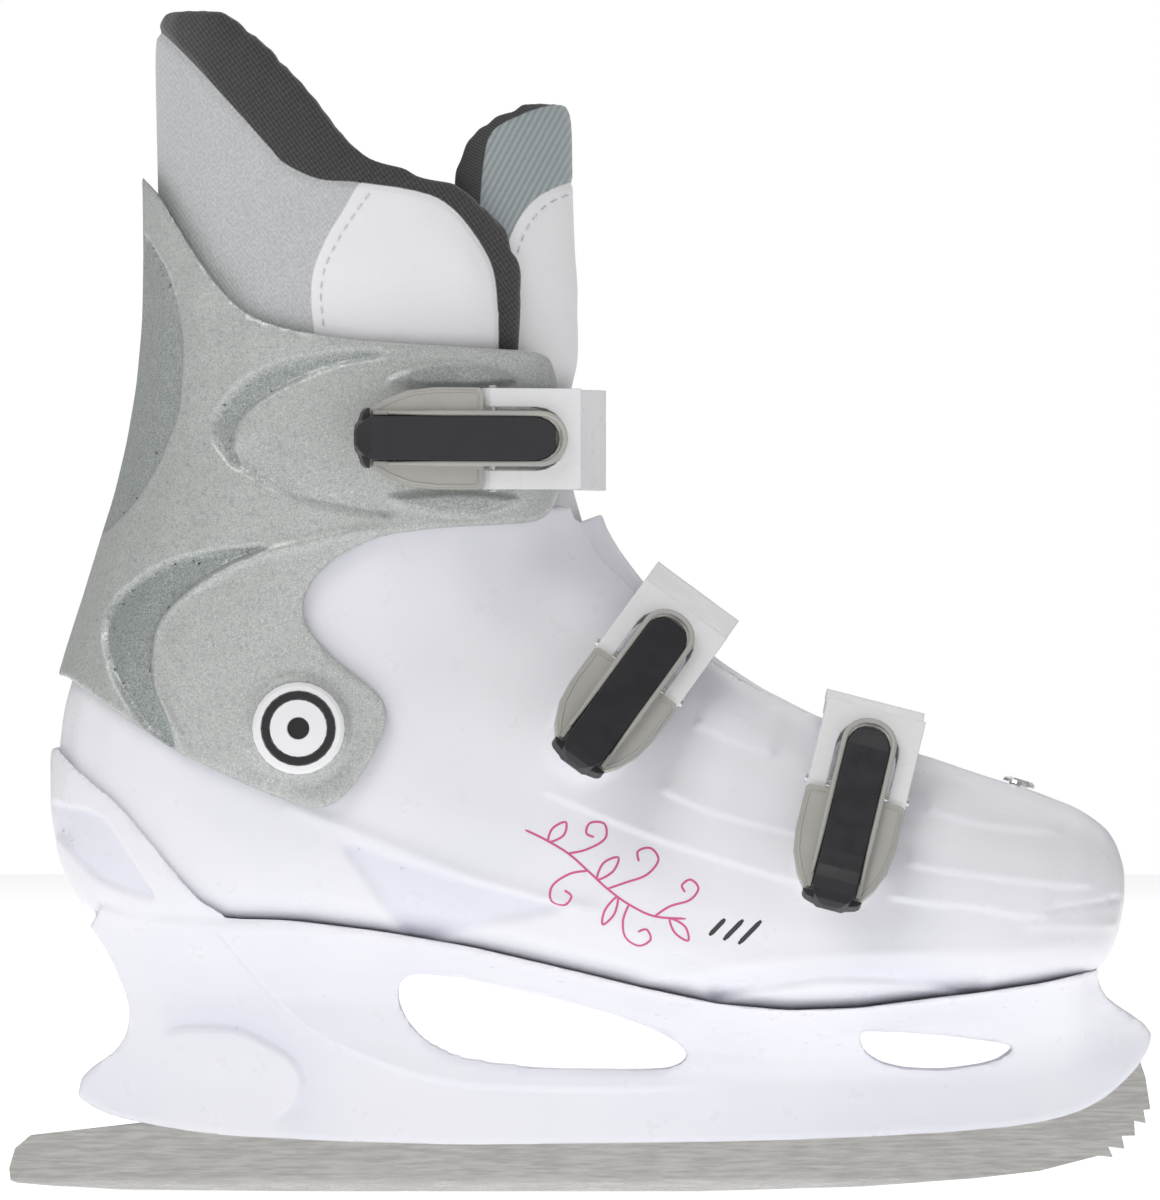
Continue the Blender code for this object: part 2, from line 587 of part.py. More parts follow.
def tongue_sections(inset, wall):
    """Sections of the padded tongue: shallow arcs behind the front line of the form."""
    found = []
    for i in range(9, LAST + 1):
        g = inset(i) - max(wall, 0.0)
        front = FRONT[i] + FRONT_OUT[i] * g
        along = (BACK[i] - FRONT[i]).normalized()
        depth = 44.0 - wall
        half = min(WIDTH[i] - 12.0, 32.0) - wall
        if i < 17:
            half = min(half, 20.0 + (i - 9) * 1.4 - wall)
        ring = []
        for k in range(RING):
            a = 2.0 * math.pi * (k + 0.5) / RING
            c, s = math.cos(a), math.sin(a)
            spot = front + along * depth * (1.0 - c)
            ring.append((spot.x, s * half, spot.y))
        found.append(ring)
    return found


def tongue_inset(i):
    steps = {23: -5.4, 24: -4.2, 25: -2.0}
    return steps.get(i, -0.4 if i >= 26 else -LINER_INSET - 0.4)


def sections_mesh(rings):
    points = [p for ring in rings for p in ring]
    faces = ring_faces(len(rings), RING)
    faces.append(tuple(range(RING)))
    faces.append(tuple(range((len(rings) - 1) * RING, len(rings) * RING)))
    return points, faces


def make_liner_tongue():
    tongue = add_mesh("liner_tongue", *sections_mesh(tongue_sections(tongue_inset, 0.0)), "tongue_grey")
    hollow = sections_mesh(tongue_sections(tongue_inset, 4.5))
    cut(tongue, add_mesh("liner_tongue_hollow", *hollow))
    keep(tongue, prism("liner_tongue_side", TONGUE))
    return tongue


def make_insole():
    insole = add_mesh("insole", *form_mesh(3, 20, -LINER_INSET - LINER_THICK - 0.4), "insole_grey")
    outline = [(x, z + 13.2) for x, z in SOLE] + [(p[0], p[1] + 6.0) for p in reversed(SOLE)]
    return keep(insole, prism("insole_side", outline))


# ---- cuff ----------------------------------------------------------------------------------------

def make_cuff(frames, holes):
    outer = CUFF_GAP + CUFF_WALL
    cuff = add_mesh("cuff", *form_mesh(14, 31, outer), "cuff_silver")
    join(cuff, pad(frames["top"], "pad_top"))
    for side in (-1.0, 1.0):
        face = side_of(CUFF_TREE, PIVOT_X, PIVOT_Z) + 1.4
        join(cuff, cylinder("pivot_boss", (PIVOT_X, 0.0, PIVOT_Z), (0.0, side, 0.0), 13.2, 30.0, face))
    cut(cuff, solid_form("cuff_hollow", 13, 32, CUFF_GAP))
    keep(cuff, prism("cuff_side", CUFF))
    return cut(cuff, *holes)


def make_pivots():
    """Two pivot pins through shell and cuff, each with a cap and a dark ring let into it."""
    holes = []
    for side, word in ((-1.0, "lateral"), (1.0, "medial")):
        wall_in = side_of(FORM_TREE, PIVOT_X, PIVOT_Z) - SHELL_WALL
        face = side_of(CUFF_TREE, PIVOT_X, PIVOT_Z) + 1.4
        centre, axis = (PIVOT_X, 0.0, PIVOT_Z), (0.0, side, 0.0)
        holes.append(cylinder("pivot_hole_" + word, centre, axis, PIVOT_R + HINGE_GAP, 20.0, 80.0, count=32))
        low, seat = wall_in - 1.2, face + GAP
        lathe("pivot_pin_" + word, centre, axis,
              [(0.0, low), (6.4, low), (6.4, wall_in - 0.4), (PIVOT_R, wall_in - 0.4),
               (PIVOT_R, seat + 0.9), (0.0, seat + 0.9)], "rivet", 24, origin=centre)
        lathe("pivot_cap_" + word, centre, axis,
              [(PIVOT_R + GAP, seat), (CAP_R, seat), (CAP_R, seat + 1.4), (10.9, seat + 2.4), (9.6, seat + 2.7),
               (9.6, seat + 1.4), (7.3, seat + 1.4), (7.3, seat + 2.9), (2.9, seat + 3.2), (2.9, seat + 2.2),
               (0.0, seat + 2.2), (0.0, seat + 1.2), (PIVOT_R + GAP, seat + 1.2), (PIVOT_R + GAP, seat)],
              "clip_white", 24, origin=centre)
        cylinder("pivot_ring_" + word, centre, axis, 9.6 - GAP, seat + 1.4 + GAP, seat + 3.0,
                 "latch_black", 24, origin=centre, hole=7.3 + GAP)
    return holes


# ---- latches -------------------------------------------------------------------------------------

def half_round(radius, from_deg, to_deg, steps, centre=(0.0, 0.0)):
    found = []
    for k in range(steps + 1):
        a = math.radians(from_deg + (to_deg - from_deg) * k / steps)
        found.append((centre[0] + radius * math.cos(a), centre[1] + radius * math.sin(a)))
    return found


def body_outline(half, tail, nose, ratio=1.0, tail_round=0.0):
    """A strip with a round or oval nose in (u, v), and a rounded tail of that length if one is given."""
    long = ratio * half
    turns = [math.radians(-90.0 + 180.0 * k / 10.0) for k in range(11)]
    found = [(nose - long + long * math.cos(a), half * math.sin(a)) for a in turns]
    if not tail_round:
        return [(tail, -half)] + found + [(tail, half)]
    return found + [(tail + tail_round - tail_round * math.cos(a), -half * math.sin(a)) for a in turns]


def latch_base(key, frame):
    base = frame.slab("base_" + key, body_outline(5.6, -33.0, -1.0), PAD_TOP + GAP, BASE_TOP, "latch_grey",
                      frame.at)
    arm = [(-13.0, BASE_TOP - 0.7), (-3.3, BASE_TOP - 0.7), (-3.3, -2.6), (-0.6, -1.2), (-0.6, 1.1), (-2.4, 1.2),
           (-9.6, -3.4)]
    join(base, frame.band("knuckle_arm_" + key, arm, -4.6, 4.6))
    join(base, frame.bar("knuckle_" + key, 0.0, 0.0, 2.4, -4.6, 4.6))
    cut(base, frame.bar("fulcrum_hole_" + key, 0.0, 0.0, 1.1 + HINGE_GAP, -20.0, 20.0))
    return base


def latch_lever(key, frame):
    half = [(-47.5, 5.0), (-47.0, 7.4), (-43.0, 10.0), (-37.0, 12.2), (-30.0, LEVER_HALF), (-18.2, LEVER_HALF),
            (-17.2, 12.0), (-17.2, 6.5)]
    leaf = [(u, -v) for u, v in half] + [(u, v) for u, v in reversed(half)]
    lever = frame.slab("lever_" + key, leaf, 2.4, 4.3, "latch_grey", frame.at)
    side = [(-47.0, 1.0), (-24.0, -0.6), (-10.0, -2.6), (2.2, -2.6), (4.4, 0.0), (4.4, 3.6), (3.0, 5.9),
            (1.0, 6.2), (-44.0, 6.2), (-47.0, 5.4)]
    walls = frame.band("lever_body_" + key, side, -BODY_HALF, BODY_HALF)
    keep(walls, frame.slab("lever_plan_" + key, body_outline(BODY_HALF, -48.0, 4.4), -4.0, 8.0))
    join(lever, walls)
    cut(lever, frame.slab("trough_" + key, body_outline(SPINE_HALF + GAP, -60.0, 2.9, NOSE_RATIO), 4.3, 12.0))
    under = [(-60.0, -8.0), (3.0, -8.0), (3.0, 1.6), (1.6, 3.0), (-60.0, 3.0)]
    cut(lever, frame.band("under_" + key, under, -5.1, 5.1))
    cut(lever, frame.bar("lever_fulcrum_" + key, 0.0, 0.0, 1.1 + HINGE_GAP, -20.0, 20.0))
    cut(lever, frame.bar("lever_clip_" + key, CLIP_PIN_U, 0.4, 1.1 + HINGE_GAP, -20.0, 20.0))
    return cut(lever, frame.bar("lever_latch_" + key, -22.0, 5.0, 0.8 + HINGE_GAP, -6.7, 6.7))


def latch_spine(key, frame):
    """The dark push piece lying in the lever, with its knob and the ears round the leaf's tip."""
    side = [(-52.0, 4.6), (-51.3, 3.2), (-50.0, 2.6), (-48.4, 2.6), (-47.6, 5.5), (1.6, 5.5), (1.6, 6.2),
            (-4.0, 6.9), (-14.0, 7.1), (-36.0, 7.1), (-41.0, 7.4), (-45.0, 8.1), (-48.6, 8.2), (-50.8, 7.4),
            (-51.8, 6.2)]
    spine = frame.band("push_latch_" + key, side, -SPINE_HALF, SPINE_HALF, "latch_black",
                       frame.point(-22.0, 0.0, 5.0))
    keep(spine, frame.slab("spine_plan_" + key, body_outline(SPINE_HALF, -52.2, 2.6, NOSE_RATIO, 5.0), 0.0, 12.0))
    boss = frame.band("spine_boss_" + key, [(-24.0, 4.5), (-20.0, 4.5), (-20.0, 6.0), (-24.0, 6.0)], -5.0, 5.0)
    join(spine, boss)
    ears = frame.slab("ears_" + key, [(-50.2, -4.6), (-49.5, -6.6), (-48.8, -7.4), (-48.0, -7.7),
                                      (-48.0, 7.7), (-48.8, 7.4), (-49.5, 6.6), (-50.2, 4.6)], 2.6, 5.4)
    join(spine, ears)
    return cut(spine, frame.bar("spine_pin_" + key, -22.0, 5.0, 0.8 + HINGE_GAP, -20.0, 20.0))


def latch_clip(key, frame, spec):
    turns = [spec["clip_from"] + (spec["clip_to"] - spec["clip_from"]) * k / 9.0 for k in range(10)]
    low, high = spec["clip"]
    inner = frame.over_the_boot(turns, lambda s: low + (high - low) * s, CLIP_HALF)
    outer = frame.over_the_boot(turns, lambda s: low + (high - low) * s + CLIP_THICK, CLIP_HALF)
    inner = [p for p in inner if p.x > 11.0 and p.y < -3.4]
    outer = [p for p in outer if p.x > 12.5 and p.y < 0.6]
    ends = half_round(2.7, 90.0, 270.0, 6, (CLIP_PIN_U, 0.4))
    outline = [(p.x, p.y) for p in reversed(outer)] + [(9.5, 3.1)] + ends + [(8.6, -2.3)]
    outline += [(p.x, p.y) for p in inner]
    clip = frame.band("clip_" + key, outline, -CLIP_HALF, CLIP_HALF, "clip_white",
                      frame.point(CLIP_PIN_U, 0.0, 0.4))
    notch = body_outline(8.1, -30.0, 5.7)
    cut(clip, frame.slab("clip_notch_" + key, notch, -8.0, 8.0))
    return cut(clip, frame.bar("clip_pin_hole_" + key, CLIP_PIN_U, 0.4, 1.1 + HINGE_GAP, -20.0, 20.0))


def latch_ladder(key, frame, spec):
    turns = [spec["ladder_from"] + (spec["ladder_to"] - spec["ladder_from"]) * k / 15.0 for k in range(16)]
    low, high = spec["ladder"]

    def lift(s):
        t = min(max((s - 0.22) / 0.2, 0.0), 1.0)
        return low + (high - low) * t * t * (3.0 - 2.0 * t)

    inner = frame.over_the_boot(turns, lift, LADDER_HALF)
    outer = frame.over_the_boot(turns, lambda s: lift(s) + LADDER_THICK - TOOTH, LADDER_HALF)
    tips = frame.over_the_boot(turns, lambda s: lift(s) + LADDER_THICK, LADDER_HALF)
    top = []
    for i in range(len(outer) - 1):
        if 1 <= i < 7:
            top += [outer[i], tips[i].lerp(tips[i + 1], 0.45), outer[i].lerp(outer[i + 1], 0.6)]
        else:
            top.append(outer[i])
    top.append(outer[-1])
    outline = [(p.x, p.y) for p in inner] + [(p.x, p.y) for p in reversed(top)]
    return frame.band("ladder_" + key, outline, -LADDER_HALF, LADDER_HALF, "clip_white", frame.at)


def make_latch(key, frame):
    spec = LATCHES[key]
    latch_base(key, frame)
    latch_lever(key, frame)
    latch_spine(key, frame)
    latch_clip(key, frame, spec)
    ladder = latch_ladder(key, frame, spec)
    frame.bar("fulcrum_pin_" + key, 0.0, 0.0, 1.1, -BODY_HALF + 0.2, BODY_HALF - 0.2, "rivet", 16, frame.at)
    frame.bar("clip_pin_" + key, CLIP_PIN_U, 0.4, 1.1, -CLIP_HALF - 0.7, CLIP_HALF + 0.7, "rivet", 16,
              frame.point(CLIP_PIN_U, 0.0, 0.4))
    frame.bar("push_pin_" + key, -22.0, 5.0, 0.8, -6.4, 6.4, "rivet", 12, frame.point(-22.0, 0.0, 5.0))
    base = bpy.data.objects["base_" + key]
    seat = frame.point(-22.0, 0.0, BASE_TOP)
    hole = cylinder("base_hole_" + key, seat, frame.n, 1.5 + GAP, -30.0, 10.0, count=16)
    cut(base, hole)
    tree = CUFF_TREE if spec["on"] == "cuff" else FORM_TREE
    wall = CUFF_WALL if spec["on"] == "cuff" else SHELL_WALL
    hit = tree.ray_cast(seat + frame.n * 40.0, -frame.n)
    depth = (hit[0] - seat).dot(frame.n) - wall + 0.4
    lathe("base_rivet_" + key, seat, frame.n,
          [(0.0, depth), (1.5, depth), (1.5, GAP), (3.4, GAP), (3.0, 1.3), (1.6, 1.7), (0.0, 1.8)], "rivet", 16,
          origin=seat)
    spot = spec["ladder_rivet"]
    ray = frame.n * math.cos(math.radians(spot)) + frame.u * math.sin(math.radians(spot))
    hub = frame.hub
    centre = frame.point((hub - frame.at).dot(frame.u), 0.0, (hub - frame.at).dot(frame.n))
    hit = tree.ray_cast(centre + ray * 160.0, -ray)
    out = hit[1] if hit[1].dot(ray) > 0 else -hit[1]
    near = frame.over_the_boot([spot - 1.0, spot, spot + 1.0],
                               lambda s: spec["ladder"][1] + LADDER_THICK - TOOTH, LADDER_HALF)[1]
    top = (frame.point(near.x, 0.0, near.y) - hit[0]).dot(out) - 0.9 + GAP
    side_hole = cylinder("ladder_hole_" + key, hit[0], out, 1.8 + GAP, -14.0, 20.0, count=16)
    cut(ladder, side_hole)
    lathe("ladder_rivet_" + key, hit[0], out,
          [(0.0, -wall + 0.4), (1.8, -wall + 0.4), (1.8, top + 1.1), (4.2, top + 1.1), (3.6, top + 2.0),
           (1.8, top + 2.5), (0.0, top + 2.6)], "rivet", 16, origin=tuple(hit[0]))
    return hole, side_hole


def make_toe_eyelet():
    """The hollow rivet that holds the moulded tongue at the toe end of the throat."""
    start = Vector((EYELET[0], 0.0, 200.0))
    hit = FORM_TREE.ray_cast(start, Vector((0.0, 0.0, -1.0)))
    out = hit[1] if hit[1].z > 0 else -hit[1]
    spot = hit[0]
    hole = cylinder("eyelet_hole", spot, out, 2.5 + GAP, -12.0, 12.0, count=20)
    lathe("tongue_eyelet", spot, out,
          [(1.6, -5.0), (2.5, -5.0), (2.5, 0.5), (4.3, 0.5), (4.1, 1.3), (3.2, 1.9), (2.2, 1.7), (1.6, 0.9),
           (1.6, -5.0)], "rivet", 20, origin=tuple(spot))
    return hole


def make_sole_rivets():
    """Four rivets through the insole side of the shell into the holder."""
    holes = []
    for index, (x, y) in enumerate(((-84.0, 10.0), (-84.0, -10.0), (84.0, 15.0), (84.0, -15.0)), 1):
        top = sole_height(x) + SHELL_WALL + 1.4
        holes.append(cylinder("sole_hole_%d" % index, (x, y, top), (0.0, 0.0, 1.0), 2.0 + GAP, -8.0 - GAP, 6.0,
                              count=16))
        lathe("sole_rivet_%d" % index, (x, y, top), (0.0, 0.0, 1.0),
              [(0.0, -8.0), (2.0, -8.0), (2.0, 0.0), (4.4, 0.0), (4.0, 0.8), (0.0, 1.0)], "rivet", 16,
              origin=(x, y, top))
    return holes


def main():
    clear_scene()
    LATCHES["top"].update(clip_from=40.0, clip_to=70.0, ladder_from=64.0, ladder_to=165.0, ladder_rivet=150.0)
    LATCHES["instep"].update(clip_from=30.0, clip_to=51.0, ladder_from=42.0, ladder_to=125.0, ladder_rivet=112.0)
    LATCHES["toe"].update(clip_from=30.0, clip_to=58.0, ladder_from=48.0, ladder_to=135.0, ladder_rivet=120.0)
    frames = {key: LatchFrame(spec) for key, spec in LATCHES.items()}
    latch_holes = {key: make_latch(key, frames[key]) for key in LATCHES}
    pivot_holes = make_pivots()
    eyelet = make_toe_eyelet()
    sole_holes = make_sole_rivets()
    shell_holes = pivot_holes + sole_holes + [eyelet]
    for key, pair in latch_holes.items():
        if LATCHES[key]["on"] == "shell":
            shell_holes += list(pair)
    make_shell(frames, shell_holes)
    cut(make_shell_tongue(), eyelet)
    make_holder(sole_holes)
    runner_solid("runner", 0.0, "steel")
    make_liner()
    make_liner_tongue()
    make_insole()
    make_cuff(frames, pivot_holes + list(latch_holes["top"]))


main()
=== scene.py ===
"""Hard-boot ice skate: finishes, padded liner, moulded relief and studio for the jointed model."""

import math

import bmesh
import bpy
import numpy as np
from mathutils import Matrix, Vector
from mathutils.bvhtree import BVHTree


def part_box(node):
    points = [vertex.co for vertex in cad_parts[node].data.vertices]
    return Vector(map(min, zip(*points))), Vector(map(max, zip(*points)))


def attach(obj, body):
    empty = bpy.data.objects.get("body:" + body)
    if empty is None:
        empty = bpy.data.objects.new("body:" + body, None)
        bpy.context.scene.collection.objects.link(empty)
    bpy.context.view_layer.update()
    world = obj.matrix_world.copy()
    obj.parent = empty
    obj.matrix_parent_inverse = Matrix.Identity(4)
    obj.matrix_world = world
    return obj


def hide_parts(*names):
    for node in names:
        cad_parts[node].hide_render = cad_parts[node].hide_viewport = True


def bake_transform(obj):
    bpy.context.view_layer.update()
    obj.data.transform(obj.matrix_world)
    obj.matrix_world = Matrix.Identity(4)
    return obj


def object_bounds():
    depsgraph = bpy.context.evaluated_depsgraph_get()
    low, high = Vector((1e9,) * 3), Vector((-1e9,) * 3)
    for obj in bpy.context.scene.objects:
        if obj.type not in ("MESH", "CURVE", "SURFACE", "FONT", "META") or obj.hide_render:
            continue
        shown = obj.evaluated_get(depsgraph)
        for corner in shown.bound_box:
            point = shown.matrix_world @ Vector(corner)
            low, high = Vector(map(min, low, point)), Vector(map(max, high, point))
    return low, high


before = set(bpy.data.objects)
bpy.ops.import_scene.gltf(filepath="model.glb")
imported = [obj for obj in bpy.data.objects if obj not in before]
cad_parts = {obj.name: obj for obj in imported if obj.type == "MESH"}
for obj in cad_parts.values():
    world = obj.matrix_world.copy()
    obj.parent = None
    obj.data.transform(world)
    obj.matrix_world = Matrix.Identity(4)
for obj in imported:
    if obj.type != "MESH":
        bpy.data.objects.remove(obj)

bl_info = {
    "name": "Hard-boot ice skate",
    "version": (1, 0, 0),
    "blender": (4, 5, 0),
    "location": "View3D > Sidebar > Skate",
    "description": "Builds the moulded boot, padded liner, buckles and studio round the jointed skate",
    "category": "Object",
}

MM = 0.001
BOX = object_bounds()
LATCHES = ("top", "instep", "toe")

FAR = 1e9                 # distance given to what lies out of reach of a line
UNTOUCHED = 99.0          # more than any distance or edge length that matters, mm
ALL_ROUND = 180.0         # rim angle, degrees, that lets every point move
CUFF_TOP = 205            # height, mm, over which the liner shows
SWELL_FRAMES = 20         # length of the padding simulation
PRINT_LIFT = 0.03         # mm that a print stands over the moulding
NOSE_U, BEAD_HALF, BEAD_N = -2.2, 6.35, 6.25   # the bead round the push piece, mm in a buckle's own axes
LEAF_N = 4.3              # height of the moulded line on a lever's leaves, mm
LEAF_EDGE = [(-45.6, 7.2), (-42.2, 9.2), (-36.6, 11.2), (-29.6, 12), (-19.4, 12), (-18.6, 11.2), (-18.6, 8)]
CLIP_PIN_RISE = (0.4, 13.5)                    # the clip's pin lies this far below and behind the lever's, mm
FRAME_TALL = 306.0 * MM   # height that the camera sees
OUTER_FACE = 0.045        # how far the outer face of the boot stands from the middle
SENSOR = 36.0
FLOOR_RADIUS = 4.0

# ---- shapes in side view, millimetres: x to the toe, z up ----------------------------------------

CUFF_BACK = [(-116, 252), (-113, 248), (-110, 243.5), (-106.6, 237.7), (-104, 230.5), (-102.5, 223),
    (-102, 217), (-102.5, 207.6), (-103.5, 200), (-106.6, 192), (-108, 188.5), (-114, 178.8), (-120.4, 172),
    (-128, 166)]
CUFF_CRESCENT_HIGH = [(-49.5, 215), (-60, 215.7), (-75.5, 213.4), (-83.4, 210), (-88.5, 206), (-92.5, 201),
    (-93.8, 196.5), (-92.4, 191.5), (-87.5, 186.7), (-88.6, 192), (-87.8, 197.5), (-84.8, 201.2),
    (-80.6, 204.3), (-75.5, 207.2), (-67.6, 210.6), (-60, 213)]
CUFF_SWEEP = [(-90.5, 190), (-87.5, 186.7), (-78.8, 181.6), (-70.9, 178), (-55.8, 175), (-46, 174.2)]
CUFF_CRESCENT_LOW = [(-80, 166.2), (-95.6, 164.7), (-107.9, 161.2), (-115.3, 156.6), (-120.4, 151.5),
    (-122.4, 144), (-121.4, 138), (-119, 131.8), (-114, 123.7), (-109.7, 118), (-104, 114.6),
    (-105.3, 121.9), (-108.9, 130.6), (-109.4, 139.2), (-107.9, 146.6), (-103, 152.7), (-95.6, 158.4),
    (-88, 162.4)]
CUFF_RIDGE = [(-45.9, 171.4), (-58.4, 169.8), (-70.9, 167), (-84.4, 163.6), (-95.6, 157.6), (-103, 151.9),
    (-107.2, 146.2), (-108.7, 139.2), (-108.2, 130.6), (-104.6, 121.9), (-100, 113.7)]
CUFF_LENS_HIGH = [(-49, 208.4), (-42, 211.6), (-33, 212.9), (-24, 212), (-16.6, 209), (-24, 207.6),
    (-33, 207.4), (-42, 207.4)]
CUFF_LENS_LOW = [(-48.5, 178.6), (-41, 175.6), (-33, 174.6), (-24, 175.4), (-16.4, 178.4), (-24, 179.8),
    (-33, 180.2), (-41, 179.8)]

SHELL_LINES = [
    [(29, 120.5), (34, 118.2), (40.3, 115.5), (50.2, 112)],
    [(87.6, 98.8), (93, 96.8), (100.7, 94.9), (111.7, 93.3), (124, 92.4)],
    [(20, 104.3), (27, 101), (35.2, 97.8), (50.2, 93.8), (60, 91.2)],
    [(82.6, 85.2), (91, 83.6), (100.7, 82.1), (120.9, 79.6), (132, 79.2)],
    [(-10, 104), (-4.1, 101.2), (15, 93.3), (30, 88.2), (53.3, 81.1), (64, 79)],
    [(77.5, 77.1), (88, 75.4), (100.7, 74.2), (110.8, 72.2), (122, 71.6)],
]
SHELL_BELLY = [(10, 53.9), (22, 56.6), (35.2, 58.9), (52, 61.2), (70.4, 62.5), (92, 63.1), (110.8, 63.5),
    (136.9, 66)]
SHELL_LENS = [(32.1, 49), (47.2, 52.5), (62.5, 55.1), (78.5, 54.8), (92.6, 52.9), (102.8, 50.5)]
ARCH_HOLLOW = [(-43, 63), (-39.5, 64.4), (-26, 68.9), (-5.4, 73.5), (-13.3, 76.4), (-30.9, 81), (-48, 86.4),
    (-60, 90), (-54, 80), (-48, 71)]
ARCH_RIDGE = [(-76, 101.5), (-69.9, 98.2), (-50.2, 90.8), (-30.9, 83.1), (-13.3, 77.6), (-4.4, 75.2),
    (8, 73)]
HEEL_OVAL = [(-138, 100), (-133.4, 99.9), (-123.4, 97.2), (-117.6, 89.8), (-112.7, 82.1), (-109.4, 76.2),
    (-115.8, 77.4), (-123.4, 80.6), (-129.3, 85.9), (-133.4, 91), (-138, 94)]
TOE_RIM = [(140, 76.5), (134, 75.3), (126, 74.2), (116, 72.9)]
TOE_LIP = [(140, 69.5), (132, 69.6), (122, 69.9), (112, 70.2)]
HOLDER_GROOVE = [(-95, 69.5), (-91, 65), (-87.5, 60.6), (-79.6, 50.8), (-71.8, 43), (-65, 38.6),
    (-55, 34.4), (-45, 30.6), (-31, 27.6), (-11, 26.4), (12, 26.2), (34, 27)]
HOLDER_TAIL = [(-108, 40.6), (-101, 42), (-89.3, 41.8), (-81.6, 38.6), (-74.7, 34.2), (-71.9, 28.8),
    (-73.7, 22.4), (-80, 18.4)]
COLLAR_EDGE = [(-122, 309), (-114, 303.6), (-107.4, 297.8), (-99.2, 289.7), (-89.3, 279), (-79.6, 268.3),
    (-75.7, 264.2), (-66.8, 260.1), (-56.1, 259.3), (-40.5, 257), (-32.6, 253), (-26, 245.3),
    (-21.9, 237.4), (-20.7, 227.7), (-20.4, 217), (-20.2, 150)]
PATCH_EDGE = [(-52, 263), (-56.1, 259.3), (-60.9, 251.2), (-64.5, 245.3), (-67.8, 237.4), (-68.6, 229.8),
    (-67.8, 220.8), (-66, 205)]
PATCH_STITCH = [(-53.4, 256.8), (-58.4, 249.8), (-62, 243.9), (-65.3, 236.6), (-66.1, 229.8),
    (-65.4, 222.6)]
TONGUE_EDGE = [(-27, 200), (-26.4, 240), (-25.2, 257), (-24.5, 264.7), (-23, 271.6), (-19.1, 275.4),
    (-6.4, 280.8), (4, 283)]
TONGUE_PATCH = [(-22, 222), (-19.6, 238), (-17.6, 245.8), (-14.3, 252.2), (-9.4, 257), (-1.5, 260.6),
    (8, 263)]
TONGUE_STITCH = [(-16.8, 238), (-15.2, 244.6), (-12.3, 250.2), (-8, 254.6), (-1.2, 257.9)]

SCROLLS = [
    [(-14, 94), (-9, 91.6), (-3, 88), (2, 83.6), (7, 79), (12.5, 75), (19, 72), (27, 71.4)],
    [(-3, 88), (1.6, 89), (6.4, 91.8), (6.2, 95.6), (2.6, 95.8), (1.6, 93.2), (3.6, 92.2)],
    [(2, 83.6), (-2.6, 82.8), (-7, 79.8), (-7.4, 76), (-4, 74.8), (-2.2, 77), (-4, 78.6)],
    [(7, 79), (11.6, 80.6), (17, 82.6), (20, 86.4), (18, 89.4), (14.8, 88.6), (15, 86)],
    [(12.5, 75), (11, 71), (11.6, 66.6), (15, 64.4), (18, 66), (17, 68.6), (14.8, 68)],
    [(19, 72), (23, 74.6), (28, 76.2), (30.2, 79.2), (28.2, 81.4), (26, 80), (26.8, 78.2)],
]
LEAVES = [
    [(-8, 91), (-7, 94.4), (-3.6, 96), (-4.2, 92.6)],
    [(4.4, 81.4), (8.4, 83.4), (9.8, 87), (6, 85.6)],
    [(9.6, 77), (6.4, 73.6), (5.8, 69.8), (8.8, 72.6)],
    [(23, 71.4), (24.2, 67.8), (27.6, 65.8), (26.8, 69.4)],
]
BARS = [((33, 67.2), (37, 71.4)), ((36.6, 66), (41.6, 71.2)), ((40.4, 65), (46.2, 71))]


def flow(points, steps=5, closed=False):
    """A smooth line through the points."""
    spots = [np.array(p, float) for p in points]
    count = len(spots)
    found = []
    for i in range(count if closed else count - 1):
        if closed:
            a, b, c, d = (spots[(i + k) % count] for k in (-1, 0, 1, 2))
        else:
            a, b, c, d = (spots[min(max(i + k, 0), count - 1)] for k in (-1, 0, 1, 2))
        for k in range(steps):
            t = k / steps
            found.append(0.5 * (2 * b + (c - a) * t + (2 * a - 5 * b + 4 * c - d) * t * t
                                + (3 * b - a - 3 * c + d) * t ** 3))
    found.append(found[0] if closed else spots[-1])
    return np.array(found)


def ease(value, low, high):
    """0 below low, 1 above high, and a smooth turn between."""
    t = np.clip((value - low) / (high - low), 0, 1)
    return t * t * (3 - 2 * t)


def near_line(spots, line, reach=None):
    """Distance of each spot from a line, the side it lies on (+1 left, -1 right), and the share along.

    With a reach, spots further than that outside the line's own box are left as far away."""
    best = np.full(len(spots), FAR)
    side, along = np.zeros(len(spots)), np.zeros(len(spots))
    if reach is not None:
        close = np.all((spots > line.min(0) - reach) & (spots < line.max(0) + reach), axis=1)
        best[close], side[close], along[close] = near_line(spots[close], line)
        return best, side, along
    for k in range(len(line) - 1):
        a, d = line[k], line[k + 1] - line[k]
        t = np.clip(((spots - a) @ d) / max(d @ d, 1e-12), 0, 1)
        gap = spots - (a + t[:, None] * d)
        away = np.hypot(gap[:, 0], gap[:, 1])
        closer = away < best
        best[closer] = away[closer]
        side[closer] = np.sign(d[0] * gap[:, 1] - d[1] * gap[:, 0])[closer]
        along[closer] = (k + t[closer]) / (len(line) - 1)
    return best, side, along


def inside_line(spots, line):
    """True for each spot within a closed line."""
    hit = np.zeros(len(spots), bool)
    for a, b in zip(line[:-1], line[1:]):
        if a[1] == b[1]:
            continue
        cross = (a[1] > spots[:, 1]) != (b[1] > spots[:, 1])
        hit ^= cross & (spots[:, 0] < (b[0] - a[0]) * (spots[:, 1] - a[1]) / (b[1] - a[1]) + a[0])
    return hit


